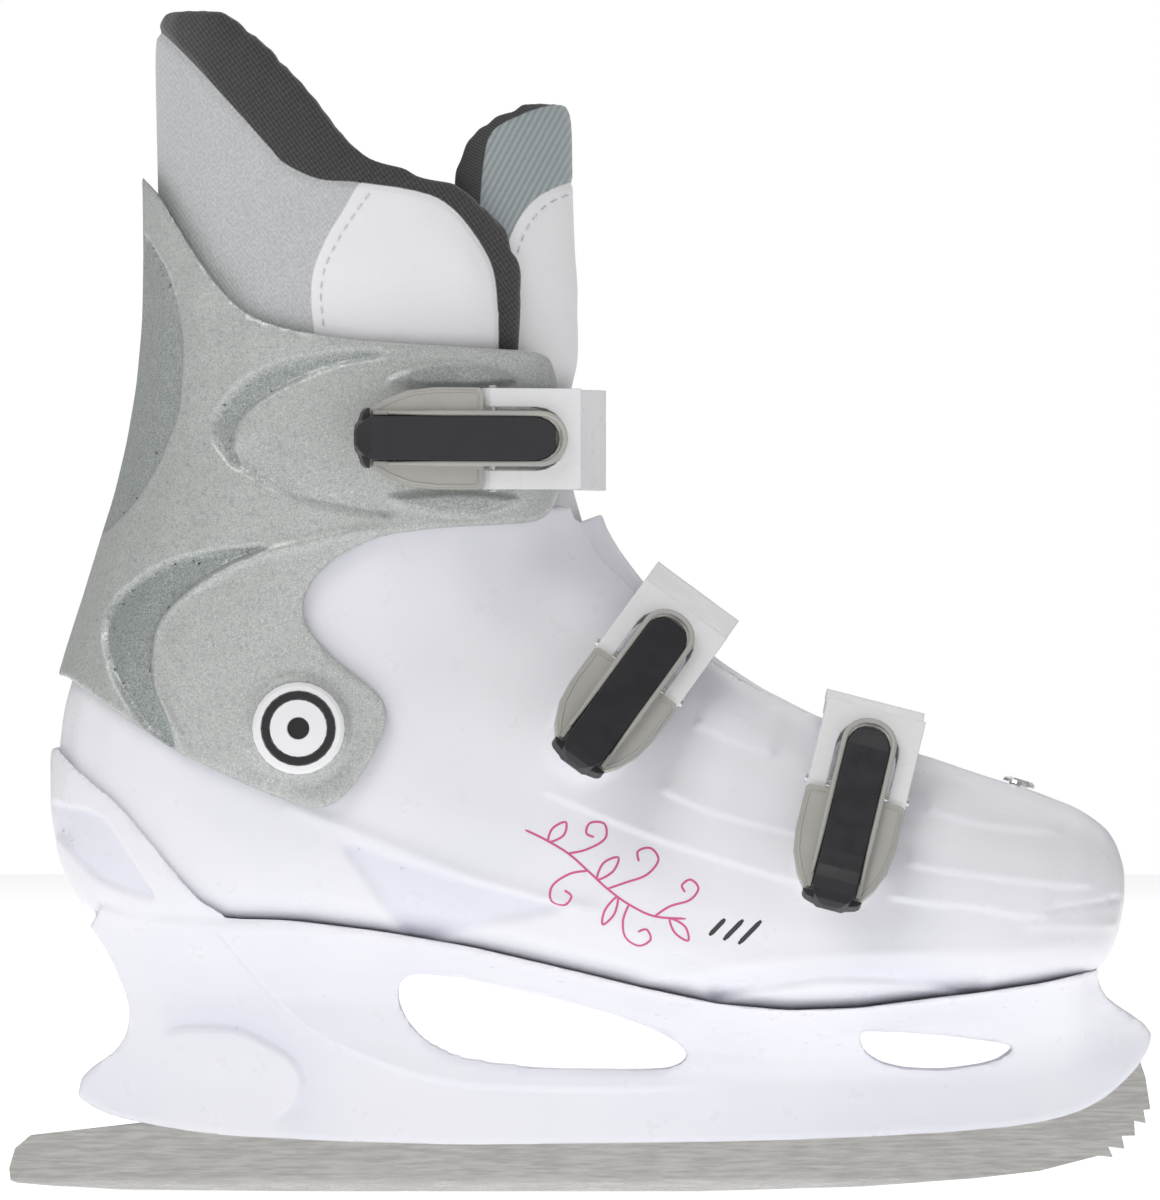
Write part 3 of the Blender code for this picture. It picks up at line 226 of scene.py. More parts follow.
class Mark:
    """One moulded feature in side view: a ridge, a step that dies away, or a sunk or raised panel."""

    def __init__(self, kind, points, height, soft=1.0, fall=12.0, shade=0.0, ends=0.12):
        self.kind, self.height, self.soft = kind, height, soft
        self.fall, self.shade, self.ends = fall, shade, ends
        self.line = flow(points, 5, kind == "panel")

    def field(self, spots):
        """Height in millimetres, and how much the feature's own shade shows."""
        reach = {"field": None, "step": self.fall * 4}.get(self.kind, self.soft * 4)
        away, side, along = near_line(spots, self.line, reach)
        if self.kind == "panel":
            signed = np.where(inside_line(spots, self.line), away, -away)
            signed = np.where(away < FAR / 10, signed, -UNTOUCHED)
            share = ease(signed, -self.soft, self.soft)
            return self.height * share, self.shade * share
        fade = ease(along, 0, self.ends) * ease(1 - along, 0, self.ends) if self.ends else 1.0
        if self.kind == "ridge":
            share = np.exp(-(away / self.soft) ** 2) * fade
            return self.height * share, self.shade * share
        signed = away * side
        share = ease(signed, -self.soft, self.soft)
        sunk = share * np.exp(-np.maximum(signed, 0) / self.fall) * fade
        return self.height * sunk, self.shade * (share if self.kind == "field" else sunk)


# ---- mesh work -----------------------------------------------------------------------------------

def only(obj):
    """Selects one object and nothing else."""
    if bpy.context.object and bpy.context.object.mode != "OBJECT":
        bpy.ops.object.mode_set(mode="OBJECT")
    bpy.ops.object.select_all(action="DESELECT")
    obj.select_set(True)
    bpy.context.view_layer.objects.active = obj


def copy_of(node, name):
    """A workable copy of a solid of the frame, with its loose triangles merged."""
    obj = bpy.data.objects.new(name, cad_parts[node].data.copy())
    bpy.context.scene.collection.objects.link(obj)
    obj.data.name = name
    only(obj)
    bpy.ops.mesh.customdata_custom_splitnormals_clear()
    bpy.ops.object.mode_set(mode="EDIT")
    bpy.ops.mesh.select_all(action="SELECT")
    bpy.ops.mesh.remove_doubles(threshold=2e-6)
    bpy.ops.object.mode_set(mode="OBJECT")
    return obj


def points_of(obj):
    co = np.empty(len(obj.data.vertices) * 3)
    obj.data.vertices.foreach_get("co", co)
    return co.reshape(-1, 3)


def normals_of(obj):
    no = np.empty(len(obj.data.vertices) * 3)
    obj.data.vertices.foreach_get("normal", no)
    return no.reshape(-1, 3)


def move_points(obj, co):
    obj.data.vertices.foreach_set("co", np.ascontiguousarray(co, dtype=np.float32).ravel())
    obj.data.update()


def refine(obj, wanted, rounds):
    """Splits edges longer than wanted(midpoints in mm), round by round."""
    for _ in range(rounds):
        bm = bmesh.new()
        bm.from_mesh(obj.data)
        bm.edges.ensure_lookup_table()
        ends = np.array([(*e.verts[0].co, *e.verts[1].co) for e in bm.edges]) / MM
        a, b = ends[:, :3], ends[:, 3:]
        long = np.linalg.norm(a - b, axis=1) > wanted((a + b) / 2) * 1.35
        if not long.any():
            bm.free()
            return
        edges = [bm.edges[i] for i in np.flatnonzero(long)]
        bmesh.ops.subdivide_edges(bm, edges=edges, cuts=1, use_grid_fill=True)
        bmesh.ops.triangulate(bm, faces=[f for f in bm.faces if len(f.verts) > 3])
        bm.to_mesh(obj.data)
        bm.free()


def knit_points(obj, reach=0.12):
    """Joins points closer than reach mm, left where solids were cut, and drops what that folds flat."""
    bm = bmesh.new()
    bm.from_mesh(obj.data)
    bmesh.ops.remove_doubles(bm, verts=bm.verts, dist=reach * MM)
    bmesh.ops.dissolve_degenerate(bm, edges=bm.edges, dist=reach * 0.5 * MM)
    bmesh.ops.triangulate(bm, faces=[f for f in bm.faces if len(f.verts) > 3])
    bm.to_mesh(obj.data)
    bm.free()


def soften(obj, turns, sharp=50.0, hold=0.96):
    """Rounds the broad facets off and keeps the rims, which are only smoothed along themselves."""
    bm = bmesh.new()
    bm.from_mesh(obj.data)
    bm.normal_update()
    ends = np.array([(e.verts[0].index, e.verts[1].index) for e in bm.edges])
    crisp = np.array([not e.is_manifold or e.calc_face_angle(0.0) > math.radians(sharp) for e in bm.edges])
    bm.free()
    co = points_of(obj)
    rim_count = np.bincount(ends[crisp].ravel(), minlength=len(co))
    rim = rim_count > 0
    free = np.concatenate([ends[~rim[ends[:, 0]]], ends[~rim[ends[:, 1]]][:, ::-1]])
    along = np.concatenate([ends[crisp], ends[crisp][:, ::-1]])
    along = along[rim_count[along[:, 0]] == 2]
    pairs = np.concatenate([free, along])
    weight = np.bincount(pairs[:, 0], minlength=len(co)).astype(float)
    moving = weight > 0
    for step in range(turns * 2):
        total = np.stack([np.bincount(pairs[:, 0], co[pairs[:, 1], k], len(co)) for k in range(3)], 1)
        shift = total[moving] / weight[moving, None] - co[moving]
        co[moving] += shift * (0.5 if step % 2 == 0 else -0.5 * hold)
    move_points(obj, co)


def even_skin(obj, voxel):
    """Meshes a closed piece again with small faces of one size."""
    only(obj)
    obj.data.remesh_voxel_size = voxel * MM
    bpy.ops.object.voxel_remesh()


def even_normals(obj, no, turns=3):
    """Normals averaged with their neighbours', so that one crumpled corner can't throw a point aside."""
    ends = np.empty(len(obj.data.edges) * 2, np.int64)
    obj.data.edges.foreach_get("vertices", ends)
    a, b = ends.reshape(-1, 2).T
    for _ in range(turns):
        total = no.copy()
        for k in range(3):
            total[:, k] += np.bincount(a, no[b, k], len(no)) + np.bincount(b, no[a, k], len(no))
        no = total / np.maximum(np.linalg.norm(total, axis=1), 1e-9)[:, None]
    return no


def skin_of(node, name, coarse, rounds, turns, voxel):
    """A rounded, evenly meshed copy of a rigid solid."""
    obj = copy_of(node, name)
    refine(obj, lambda mid: np.full(len(mid), coarse), rounds)
    knit_points(obj)
    soften(obj, turns)
    even_skin(obj, voxel)
    soften(obj, 4, ALL_ROUND)
    return obj


def emboss(obj, marks, fine=0.8, near=2.2):
    """Moulds the marks into both outer sides of a piece."""
    def wanted(mid):
        away = np.min([near_line(mid[:, [0, 2]], m.line, near * 3)[0] for m in marks], axis=0)
        return np.where(away < near, fine, np.where(away < near * 3, 2.0, 3.4))

    refine(obj, wanted, 4)
    co, no = points_of(obj), normals_of(obj)
    facing = ease(no[:, 1] * np.sign(co[:, 1]), 0.12, 0.45)
    height, shade = np.zeros(len(co)), np.zeros(len(co))
    for mark in marks:
        rise, dark = mark.field(co[:, [0, 2]] / MM)
        height += rise
        shade = np.maximum(shade, dark)
    # shade attribute: painted shade in the hollows of the white mouldings, and the dark panel share on the
    # cuff
    keep_attribute(obj, "shade", shade * ease(no[:, 1] * np.sign(co[:, 1]), -0.2, 0.1))
    # relief attribute: the white mouldings' finish also reads this height as painted shade where it is sunk
    keep_attribute(obj, "relief", height * facing)
    move_points(obj, co + even_normals(obj, no) * (height * facing)[:, None] * MM)
    soften(obj, 2, ALL_ROUND, 0.9)


def keep_attribute(obj, name, values):
    layer = obj.data.attributes.get(name) or obj.data.attributes.new(name, "FLOAT", "POINT")
    layer.data.foreach_set("value", np.ascontiguousarray(values, dtype=np.float32))


def shade_smooth(obj, angle=42.0):
    only(obj)
    bpy.ops.object.shade_smooth_by_angle(angle=math.radians(angle))


def tree_of(obj):
    bm = bmesh.new()
    bm.from_mesh(obj.data)
    tree = BVHTree.FromBMesh(bm)
    bm.free()
    return tree


def on_side(tree, x, z, side, lift=0.0):
    """The surface at (x, z) mm on one side (-1 outer side of the foot, +1 inner side), and its normal."""
    hit, normal, _, _ = tree.ray_cast(Vector((x * MM, side * 0.2, z * MM)), Vector((0, -side, 0)))
    if hit is None:
        return None
    if normal.y * side < 0:
        normal = -normal
    return hit + normal * lift * MM, normal


def laid_on(tree, line, side):
    """A printed line just proud of one side, where there is a surface under it."""
    path = [on_side(tree, x, z, side, PRINT_LIFT) for x, z in line]
    return [spot for spot in path if spot]


def tube_through(name, paths, radius, sides=8, flat=1.0):
    """Round cords along paths of (point, normal), pressed to `flat` of their height along the normal."""
    bm = bmesh.new()
    for path in paths:
        rings = []
        for i, (spot, normal) in enumerate(path):
            ahead, behind = path[min(i + 1, len(path) - 1)][0], path[max(i - 1, 0)][0]
            across = normal.cross(ahead - behind).normalized()
            taper = 0.55 if i in (0, len(path) - 1) else 1.0
            turns = (2 * math.pi * k / sides for k in range(sides))
            spokes = [across * math.cos(a) + normal * math.sin(a) * flat for a in turns]
            rings.append([bm.verts.new(spot + spoke * radius * taper * MM) for spoke in spokes])
        for a, b in zip(rings[:-1], rings[1:]):
            for k in range(sides):
                bm.faces.new((a[k], a[(k + 1) % sides], b[(k + 1) % sides], b[k]))
        bm.faces.new(rings[0])
        bm.faces.new(list(reversed(rings[-1])))
    bmesh.ops.recalc_face_normals(bm, faces=bm.faces)
    mesh = bpy.data.meshes.new(name)
    bm.to_mesh(mesh)
    bm.free()
    obj = bpy.data.objects.new(name, mesh)
    bpy.context.scene.collection.objects.link(obj)
    return obj


def stitches(name, tree, line, length=1.9, gap=1.3, radius=0.26, lift=0.12, sides=(-1, 1)):
    """A run of separate stitches along a line in side view, on both sides."""
    dense = flow(line, 24)
    reach = np.concatenate([[0], np.cumsum(np.hypot(*np.diff(dense, axis=0).T))])
    paths = []
    for side in sides:
        start = 0.5
        while start + length < reach[-1]:
            path = []
            for share in (0, 0.33, 0.66, 1):
                x, z = (np.interp(start + length * share, reach, dense[:, k]) for k in (0, 1))
                spot = on_side(tree, x, z, side, lift)
                if spot:
                    path.append(spot)
            if len(path) == 4:
                paths.append(path)
            start += length + gap
    return tube_through(name, paths, radius, 6)


# ---- finishes ------------------------------------------------------------------------------------

class Value:
    """A shader socket that can stand in ordinary sums."""

    def __init__(self, finish, socket):
        self.finish, self.socket = finish, socket

    def sum(self, operation, a, b):
        return self.finish.node("ShaderNodeMath", {"operation": operation}, {0: a, 1: b})

    def __add__(self, other):
        return self.sum("ADD", self, other)

    def __sub__(self, other):
        return self.sum("SUBTRACT", self, other)

    def __rsub__(self, other):
        return self.sum("SUBTRACT", other, self)

    def __mul__(self, other):
        return self.sum("MULTIPLY", self, other)

    __radd__, __rmul__ = __add__, __mul__


class Finish:
    """One material. node() adds any node, and sums on what it returns add Math nodes."""

    def __init__(self, name, color, roughness, **sockets):
        self.material = bpy.data.materials.get(name) or bpy.data.materials.new(name)
        self.material.use_nodes = True
        self.tree = self.material.node_tree
        self.tree.nodes.clear()
        self.shader = self.tree.nodes.new("ShaderNodeBsdfPrincipled")
        out = self.tree.nodes.new("ShaderNodeOutputMaterial")
        self.tree.links.new(self.shader.outputs[0], out.inputs[0])
        self.material.diffuse_color = (*color, 1)
        self.set("Base Color", color)
        self.set("Roughness", roughness)
        for key, value in sockets.items():
            self.set(key.replace("_", " "), value)

    def node(self, kind, settings=None, inputs=None, out=0):
        node = self.tree.nodes.new(kind)
        for key, value in (settings or {}).items():
            setattr(node, key, value)
        for key, value in (inputs or {}).items():
            self.feed(node.inputs[key], value)
        return Value(self, node.outputs[out])

    def feed(self, socket, value):
        if isinstance(value, Value):
            self.tree.links.new(value.socket, socket)
        elif isinstance(value, tuple) and len(value) == 3 and socket.type == "RGBA":
            socket.default_value = (*value, 1)
        else:
            socket.default_value = value

    def set(self, socket, value):
        self.feed(self.shader.inputs[socket], value)

    def place(self):
        return self.node("ShaderNodeTexCoord", out="Object")

    def stretched(self, scale, turn=(0, 0, 0)):
        return self.node("ShaderNodeMapping", {"vector_type": "POINT"},
                         {"Vector": self.place(), "Scale": scale, "Rotation": turn})

    def parts(self):
        node = self.node("ShaderNodeSeparateXYZ", None, {"Vector": self.place()})
        return [Value(self, socket) for socket in node.socket.node.outputs]

    def noise(self, scale, detail=2.0, where=None, rough=0.5):
        return self.node("ShaderNodeTexNoise", None, {"Vector": where or self.place(), "Scale": scale,
                                                     "Detail": detail, "Roughness": rough})

    def cells(self, scale, where=None, feature="F1"):
        return self.node("ShaderNodeTexVoronoi", {"feature": feature},
                         {"Vector": where or self.place(), "Scale": scale})

    def wave(self, scale, direction="X", where=None, bend=0.0):
        return self.node("ShaderNodeTexWave", {"bands_direction": direction},
                         {"Vector": where or self.place(), "Scale": scale, "Distortion": bend}, "Fac")

    def ease(self, value, low, high, a=0.0, b=1.0):
        return self.node("ShaderNodeMapRange", {"interpolation_type": "SMOOTHSTEP"},
                         {"Value": value, "From Min": low, "From Max": high, "To Min": a, "To Max": b})

    def mix(self, share, a, b):
        return self.node("ShaderNodeMix", {"data_type": "RGBA"}, {0: share, 6: a, 7: b}, 2)

    def layer(self, name):
        return self.node("ShaderNodeAttribute", {"attribute_name": name}, None, "Fac")

    def rounded(self, radius):
        """Soft moulded edges."""
        return self.node("ShaderNodeBevel", {"samples": 4}, {"Radius": radius * MM})

    def bump(self, height, depth, strength=1.0, edge=0.0):
        links = {"Height": height, "Distance": depth * MM, "Strength": strength}
        if edge:
            links["Normal"] = self.rounded(edge)
        self.set("Normal", self.node("ShaderNodeBump", None, links))


def dress(obj, material):
    obj.data.materials.clear()
    obj.data.materials.append(material)
    for face in obj.data.polygons:
        face.material_index = 0


def dress_nodes(names, material):
    """Gives solids of the frame a finish."""
    for name in names:
        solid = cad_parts[name]
        for index in range(len(solid.material_slots)):
            solid.material_slots[index].material = material


def moulded_white(name, color):
    """Satin white polyamide: painted shade in its hollows and sunk grooves as a bluish grey tint, faint flow
    marks and a fine eggshell skin.
    """
    finish = Finish(name, color, 0.34, Specular_IOR_Level=0.45, Subsurface_Weight=0.05,
                    Subsurface_Radius=(0.004, 0.004, 0.005), Subsurface_Scale=0.4)
    # bluish grey tint: painted shade in the hollows and sunk grooves, and also the faint flow marks
    hollow_shade_and_flow_tint = tuple(c * k for c, k in zip(color, (0.86, 0.87, 0.94)))
    drift = finish.noise(22, 3)
    tone = finish.ease(drift, 0.35, 0.75) * 0.28
    # painted shade: the shade attribute of the sunk panels and grooves turns the white to the bluish grey
    # tint
    tone = tone + finish.layer("shade") * 0.5
    # painted shade: sunk relief turns the white to the bluish grey tint
    tone = tone + finish.ease(finish.layer("relief"), 0.0, -1.2) * 0.35
    finish.set("Base Color", finish.mix(tone, color, hollow_shade_and_flow_tint))
    finish.set("Roughness", finish.ease(finish.noise(140, 3), 0.3, 0.7, 0.27, 0.4))
    finish.bump(finish.noise(620, 2) * 0.7 + finish.noise(90, 2) * 1.2, 0.05, 0.35)
    return finish.material


def flake_silver(settings):
    """Silver-grey paint with metal flakes; the sunk panels and the back are a darker teal grey."""
    color = tuple(settings.silver)
    finish = Finish("cuff_silver", color, 0.36, Metallic=0.35, Specular_IOR_Level=0.5)
    dark = tuple(settings.silver_dark)
    flakes = finish.ease(finish.cells(2600), 0.15, 0.75, 1.0, 0.0)
    flecks = finish.ease(finish.noise(1500, 2), 0.52, 0.72)
    body = finish.mix(finish.layer("shade"), color, dark)
    bright = finish.mix(flakes * 0.34 + flecks * 0.22, body, (0.9, 0.91, 0.89))
    finish.set("Base Color", finish.mix(finish.ease(finish.noise(900, 2), 0.5, 0.74) * 0.35, bright, dark))
    finish.set("Metallic", flecks * 0.4 + 0.25)
    finish.set("Roughness", finish.ease(finish.noise(300, 2), 0.3, 0.7, 0.32, 0.46))
    finish.bump(finish.noise(1200, 2) + finish.noise(160, 2) * 0.7, 0.04, 0.3, 0.5)
    return finish.material


def satin_steel():
    """Runner steel: ground lengthways, brighter along the polished skating edge."""
    finish = Finish("steel", (0.52, 0.51, 0.49), 0.34, Metallic=1.0)
    drawn = finish.noise(60, 5, finish.stretched((2.0, 30.0, 26.0)), 0.62)
    fine = finish.noise(220, 3, finish.stretched((2.5, 30.0, 30.0)))
    x, y, z = finish.parts()
    edge = finish.ease(z, 0.0042, 0.0012)
    tone = finish.mix(finish.ease(drawn, 0.3, 0.7), (0.42, 0.41, 0.39), (0.56, 0.55, 0.525))
    finish.set("Base Color", finish.mix(edge * 0.7, tone, (0.7, 0.69, 0.67)))
    finish.set("Roughness", finish.ease(drawn, 0.25, 0.75, 0.42, 0.27) - edge * 0.08)
    finish.bump(drawn * 0.6 + fine, 0.03, 0.35, 0.25)
    return finish.material


def bright_metal():
    finish = Finish("rivet", (0.72, 0.72, 0.71), 0.2, Metallic=1.0)
    turned = finish.noise(700, 3)
    finish.set("Roughness", finish.ease(turned, 0.3, 0.7, 0.14, 0.3))
    finish.bump(turned, 0.02, 0.3, 0.2)
    return finish.material


def grained_plastic(name, color, roughness, edge=0.45, grain=1100, depth=0.05, wear=(1.25, 1.22, 1.18)):
    """Moulded plastic with a spark-eroded grain and a faintly worn, lighter skin in places."""
    finish = Finish(name, color, roughness, Specular_IOR_Level=0.5)
    light = tuple(min(1.0, c * k) for c, k in zip(color, wear))
    cloud = finish.noise(55, 4)
    speck = finish.noise(grain * 0.6, 2)
    worn = finish.ease(cloud, 0.35, 0.8) * 0.45 + finish.ease(speck, 0.55, 0.8) * 0.2
    finish.set("Base Color", finish.mix(worn, color, light))
    finish.set("Roughness", finish.ease(finish.noise(180, 3), 0.3, 0.7, roughness - 0.07, roughness + 0.08))
    finish.bump(finish.noise(grain, 2), depth, 0.4, edge)
    return finish.material


def pivot_white(pivot):
    """White cap with the dark dot at its centre."""
    finish = Finish("pivot_white", (0.86, 0.86, 0.88), 0.28)
    x, y, z = finish.parts()
    dx, dz = x - pivot.x, z - pivot.z
    away = finish.node("ShaderNodeMath", {"operation": "SQRT"}, {0: dx * dx + dz * dz})
    dot = finish.ease(away, 0.0029, 0.0027)
    finish.set("Base Color", finish.mix(dot, (0.86, 0.86, 0.88), (0.012, 0.012, 0.014)))
    finish.bump(finish.noise(700, 2), 0.03, 0.3, 0.4)
    return finish.material


def knit(finish, where):
    """Close rib knit: height of the yarns."""
    rib = finish.wave(330, "X", where)
    cross = finish.wave(240, "Z", where, 0.6)
    return rib * 0.65 + cross * 0.35


def liner_cloth():
    """Liner skin: charcoal knit binding and lining, silver-grey jersey, and the white leatherette patch."""
    finish = Finish("liner_cloth", (0.5, 0.51, 0.52), 0.85, Sheen_Weight=0.25, Sheen_Roughness=0.5)
    turned = finish.stretched((1, 1, 1), (0, math.radians(35), 0))
    yarn = knit(finish, turned)
    collar = finish.ease(finish.layer("collar"), -0.25, 0.25)
    patch = finish.ease(finish.layer("patch"), -0.2, 0.2) * (1 - collar)
    fuzz = finish.noise(1400, 3)
    grey = finish.mix(finish.ease(fuzz, 0.3, 0.7) * 0.6 + yarn * 0.3, (0.43, 0.44, 0.45), (0.60, 0.61, 0.62))
    dark = finish.mix(yarn * 0.7 + finish.ease(fuzz, 0.4, 0.8) * 0.3,
                      (0.020, 0.020, 0.022), (0.085, 0.083, 0.083))
    pores = finish.cells(1300)
    white = finish.mix(finish.ease(pores, 0.1, 0.5) * 0.2 + finish.ease(finish.noise(30, 2), 0.4, 0.8) * 0.2,
                       (0.84, 0.84, 0.86), (0.74, 0.74, 0.78))
    finish.set("Base Color", finish.mix(collar, finish.mix(patch, grey, white), dark))
    finish.set("Roughness", 0.9 - patch * 0.42)
    cloth = yarn * 0.7 + fuzz * 0.5
    finish.bump(cloth * (1 - patch) + finish.cells(900, None, "SMOOTH_F1") * patch * 0.5, 0.16, 0.6)
    return finish.material


def tongue_cloth():
    """Tongue skin: blue-grey ribbed mesh above, white leatherette below the arc, charcoal edge."""
    finish = Finish("tongue_cloth", (0.33, 0.37, 0.39), 0.85, Sheen_Weight=0.2)
    turned = finish.stretched((1, 1, 1), (0, math.radians(-28), 0))
    rib = finish.wave(210, "X", turned, 0.4)
    weft = finish.wave(420, "Z", turned)
    collar = finish.ease(finish.layer("collar"), -0.25, 0.25)
    patch = finish.ease(finish.layer("patch"), -0.2, 0.2) * (1 - collar)
    fuzz = finish.noise(1300, 3)
    grey = finish.mix(rib * 0.6 + fuzz * 0.3, (0.235, 0.27, 0.285), (0.43, 0.47, 0.485))
    dark = finish.mix(weft * 0.5 + fuzz * 0.4, (0.02, 0.02, 0.022), (0.09, 0.088, 0.088))
    white = finish.mix(finish.ease(finish.cells(1300), 0.1, 0.5) * 0.25,
                       (0.86, 0.86, 0.87), (0.76, 0.76, 0.79))
    finish.set("Base Color", finish.mix(collar, finish.mix(patch, grey, white), dark))
    finish.set("Roughness", 0.9 - patch * 0.42)
    finish.bump((rib * 0.6 + weft * 0.2 + fuzz * 0.3) * (1 - patch)
                + finish.cells(900, None, "SMOOTH_F1") * patch * 0.5, 0.2, 0.6)
    return finish.material


def felt(name, color):
    finish = Finish(name, color, 0.95, Sheen_Weight=0.3)
    fuzz = finish.noise(1200, 4)
    light = tuple(min(1.0, c * 1.5) for c in color)
    finish.set("Base Color", finish.mix(finish.ease(fuzz, 0.3, 0.75), color, light))
    finish.bump(fuzz + finish.wave(300, "X") * 0.4, 0.2, 0.6)
    return finish.material


# ---- settings ------------------------------------------------------------------------------------

def tint(name, description, default):
    return bpy.props.FloatVectorProperty(name=name, description=description, default=default, size=3,
                                         min=0.0, max=1.0, subtype="COLOR")


def number(name, description, default, low, high, unit="NONE"):
    return bpy.props.FloatProperty(name=name, description=description, default=default, min=low, max=high,
                                   unit=unit)


class SkateShellSettings(bpy.types.PropertyGroup):
    """The white moulded boot and blade holder."""

    white: tint("Moulding white", "Colour of the boot shell and holder", (0.84, 0.84, 0.885))
    relief: number("Relief height", "Height of the moulded lines", 1.05 * MM, 0.0, 3 * MM, "LENGTH")
    facet: bpy.props.IntProperty(name="Facet rounding", default=14, min=0, max=60,
                                 description="Rounds of smoothing over the broad faces")


class SkateCuffSettings(bpy.types.PropertyGroup):
    """The silver ankle cuff."""

    silver: tint("Cuff silver", "Colour of the raised faces", (0.43, 0.447, 0.435))
    silver_dark: tint("Cuff dark panels", "Colour of the sunk panels", (0.225, 0.26, 0.26))
    relief: number("Panel depth", "Depth of the sunk panels", 1.3 * MM, 0.0, 3 * MM, "LENGTH")


class SkateLinerSettings(bpy.types.PropertyGroup):
    """The padded liner and tongue."""

    pressure: number("Padding pressure", "Pressure that swells the padding", 4.0, 0.0, 12.0)
    swell: number("Padding swell", "Most that the padding may stand proud", 3.2 * MM, 0.0, 8 * MM, "LENGTH")
    stitch: number("Stitch length", "Length of one stitch", 1.9 * MM, 0.5 * MM, 5 * MM, "LENGTH")


class SkateLatchSettings(bpy.types.PropertyGroup):
    """The three buckles."""

    grey: tint("Lever grey", "Colour of the lever leaves", (0.42, 0.415, 0.39))
    black: tint("Push piece black", "Colour of the push pieces", (0.018, 0.018, 0.021))
    white: tint("Clip white", "Colour of the clips and straps", (0.83, 0.83, 0.84))
    bead: number("Rim bead", "Radius of the bead round the push piece",
                 0.75 * MM, 0.2 * MM, 2 * MM, "LENGTH")


class SkateStageSettings(bpy.types.PropertyGroup):
    """Floor, lights and camera."""

    floor: tint("Floor", "Colour of the studio floor", (0.86, 0.86, 0.87))
    key: number("Key light", "Power of the large soft light", 6.5, 0.0, 500.0, "POWER")
    glow: number("Floor glow", "Light that comes up through the floor", 0.6, 0.0, 2.0)
    air: number("Studio air", "Strength of the even light all round", 0.32, 0.0, 2.0)
    lens: number("Lens", "Focal length of the camera, millimetres", 400.0, 50.0, 1000.0)


# ---- pieces --------------------------------------------------------------------------------------

class SKATE_OT_shell(bpy.types.Operator):
    """Mould the boot shell and its tongue bridge"""

    bl_idname = "skate.shell"
    bl_label = "Boot shell"

    def execute(self, context):
        settings = context.scene.skate_shell
        rise = settings.relief / MM
        marks = [Mark("step", line, rise, 0.5, 9.0) for line in SHELL_LINES]
        marks += [
            Mark("ridge", SHELL_BELLY, 0.55 * rise, 2.2),
            Mark("step", SHELL_LENS, -1.1 * rise, 0.6, 7.0, ends=0.05),
            # the arch hollow's shade value becomes painted shade in the recess
            Mark("panel", ARCH_HOLLOW, -1.3 * rise, 1.6, shade=0.25),
            Mark("ridge", ARCH_RIDGE, 0.7 * rise, 1.8),
            Mark("ridge", TOE_RIM, -0.7 * rise, 0.7, ends=0.2),
            Mark("ridge", TOE_LIP, 0.5 * rise, 1.2, ends=0.2),
        ]
        material = moulded_white("shell_white", tuple(settings.white))
        shell = skin_of("boot_shell", "boot_shell_skin", 3.4, 7, settings.facet, 1.9)
        emboss(shell, marks, 0.95)
        shade_smooth(shell)
        dress(shell, material)
        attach(shell, "shell")
        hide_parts("boot_shell")
        bridge = skin_of("shell_tongue", "shell_tongue_skin", 2.6, 6, settings.facet, 1.2)
        for layer in ("shade", "relief"):
            keep_attribute(bridge, layer, np.zeros(len(bridge.data.vertices)))
        shade_smooth(bridge)
        dress(bridge, material)
        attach(bridge, "shell")
        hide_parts("shell_tongue")
        return {"FINISHED"}


class SKATE_OT_holder(bpy.types.Operator):
    """Mould the blade holder, with its groove, tail curl and rounded windows"""

    bl_idname = "skate.holder"
    bl_label = "Blade holder"

    def execute(self, context):
        settings = context.scene.skate_shell
        rise = settings.relief / MM
        marks = [
            # the shade values below are painted shade in the groove, the tail curl and the heel oval
            Mark("step", HOLDER_GROOVE, 1.5 * rise, 0.7, 8.0, shade=0.2),
            Mark("step", HOLDER_TAIL, -1.2 * rise, 0.8, 8.0, shade=0.2),
            Mark("panel", HEEL_OVAL, -1.2 * rise, 0.9, shade=0.35),
        ]
        holder = skin_of("blade_holder", "blade_holder_skin", 3.4, 7, settings.facet, 1.2)
        emboss(holder, marks)
        shade_smooth(holder)
        dress(holder, moulded_white("holder_white", tuple(settings.white)))
        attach(holder, "shell")
        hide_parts("blade_holder")
        return {"FINISHED"}


class SKATE_OT_runner(bpy.types.Operator):
    """Finish the steel runner, the rivets and the pins"""

    bl_idname = "skate.runner"
    bl_label = "Runner and rivets"

    def execute(self, context):
        dress_nodes(["runner"], satin_steel())
        metal = bright_metal()
        small = [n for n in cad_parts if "rivet" in n or "_pin_" in n or n == "tongue_eyelet"]
        dress_nodes(small, metal)
        return {"FINISHED"}


class SKATE_OT_cuff(bpy.types.Operator):
    """Mould the silver cuff and finish its pivots"""

    bl_idname = "skate.cuff"
    bl_label = "Ankle cuff and pivots"

    def execute(self, context):
        settings = context.scene.skate_cuff
        deep = settings.relief / MM
        marks = [
            Mark("field", CUFF_BACK[::-1], -deep, 0.5, 14.0, shade=0.75, ends=0),
            Mark("panel", CUFF_CRESCENT_HIGH, -0.9 * deep, 0.8, shade=0.75),
            Mark("panel", CUFF_CRESCENT_LOW, -1.1 * deep, 0.6, shade=0.9),
            Mark("ridge", CUFF_RIDGE, 0.5 * deep, 1.1),
            Mark("step", CUFF_SWEEP, -0.7 * deep, 0.9, 6.0, shade=0.35),
            Mark("panel", CUFF_LENS_HIGH, 0.8 * deep, 0.9, shade=0.5),
            Mark("panel", CUFF_LENS_LOW, 0.8 * deep, 0.9, shade=0.5),
        ]
        cuff = skin_of("cuff", "cuff_skin", 3.4, 7, 14, 1.2)
        emboss(cuff, marks)
        shade_smooth(cuff)
        dress(cuff, flake_silver(settings))
        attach(cuff, "cuff")
        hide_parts("cuff")
        low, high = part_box("pivot_cap_lateral")
        dress_nodes(["pivot_cap_lateral", "pivot_cap_medial"], pivot_white((low + high) / 2))
        dress_nodes(["pivot_ring_lateral", "pivot_ring_medial"],
                    grained_plastic("ring_black", (0.014, 0.014, 0.016), 0.35, 0.2))
        return {"FINISHED"}


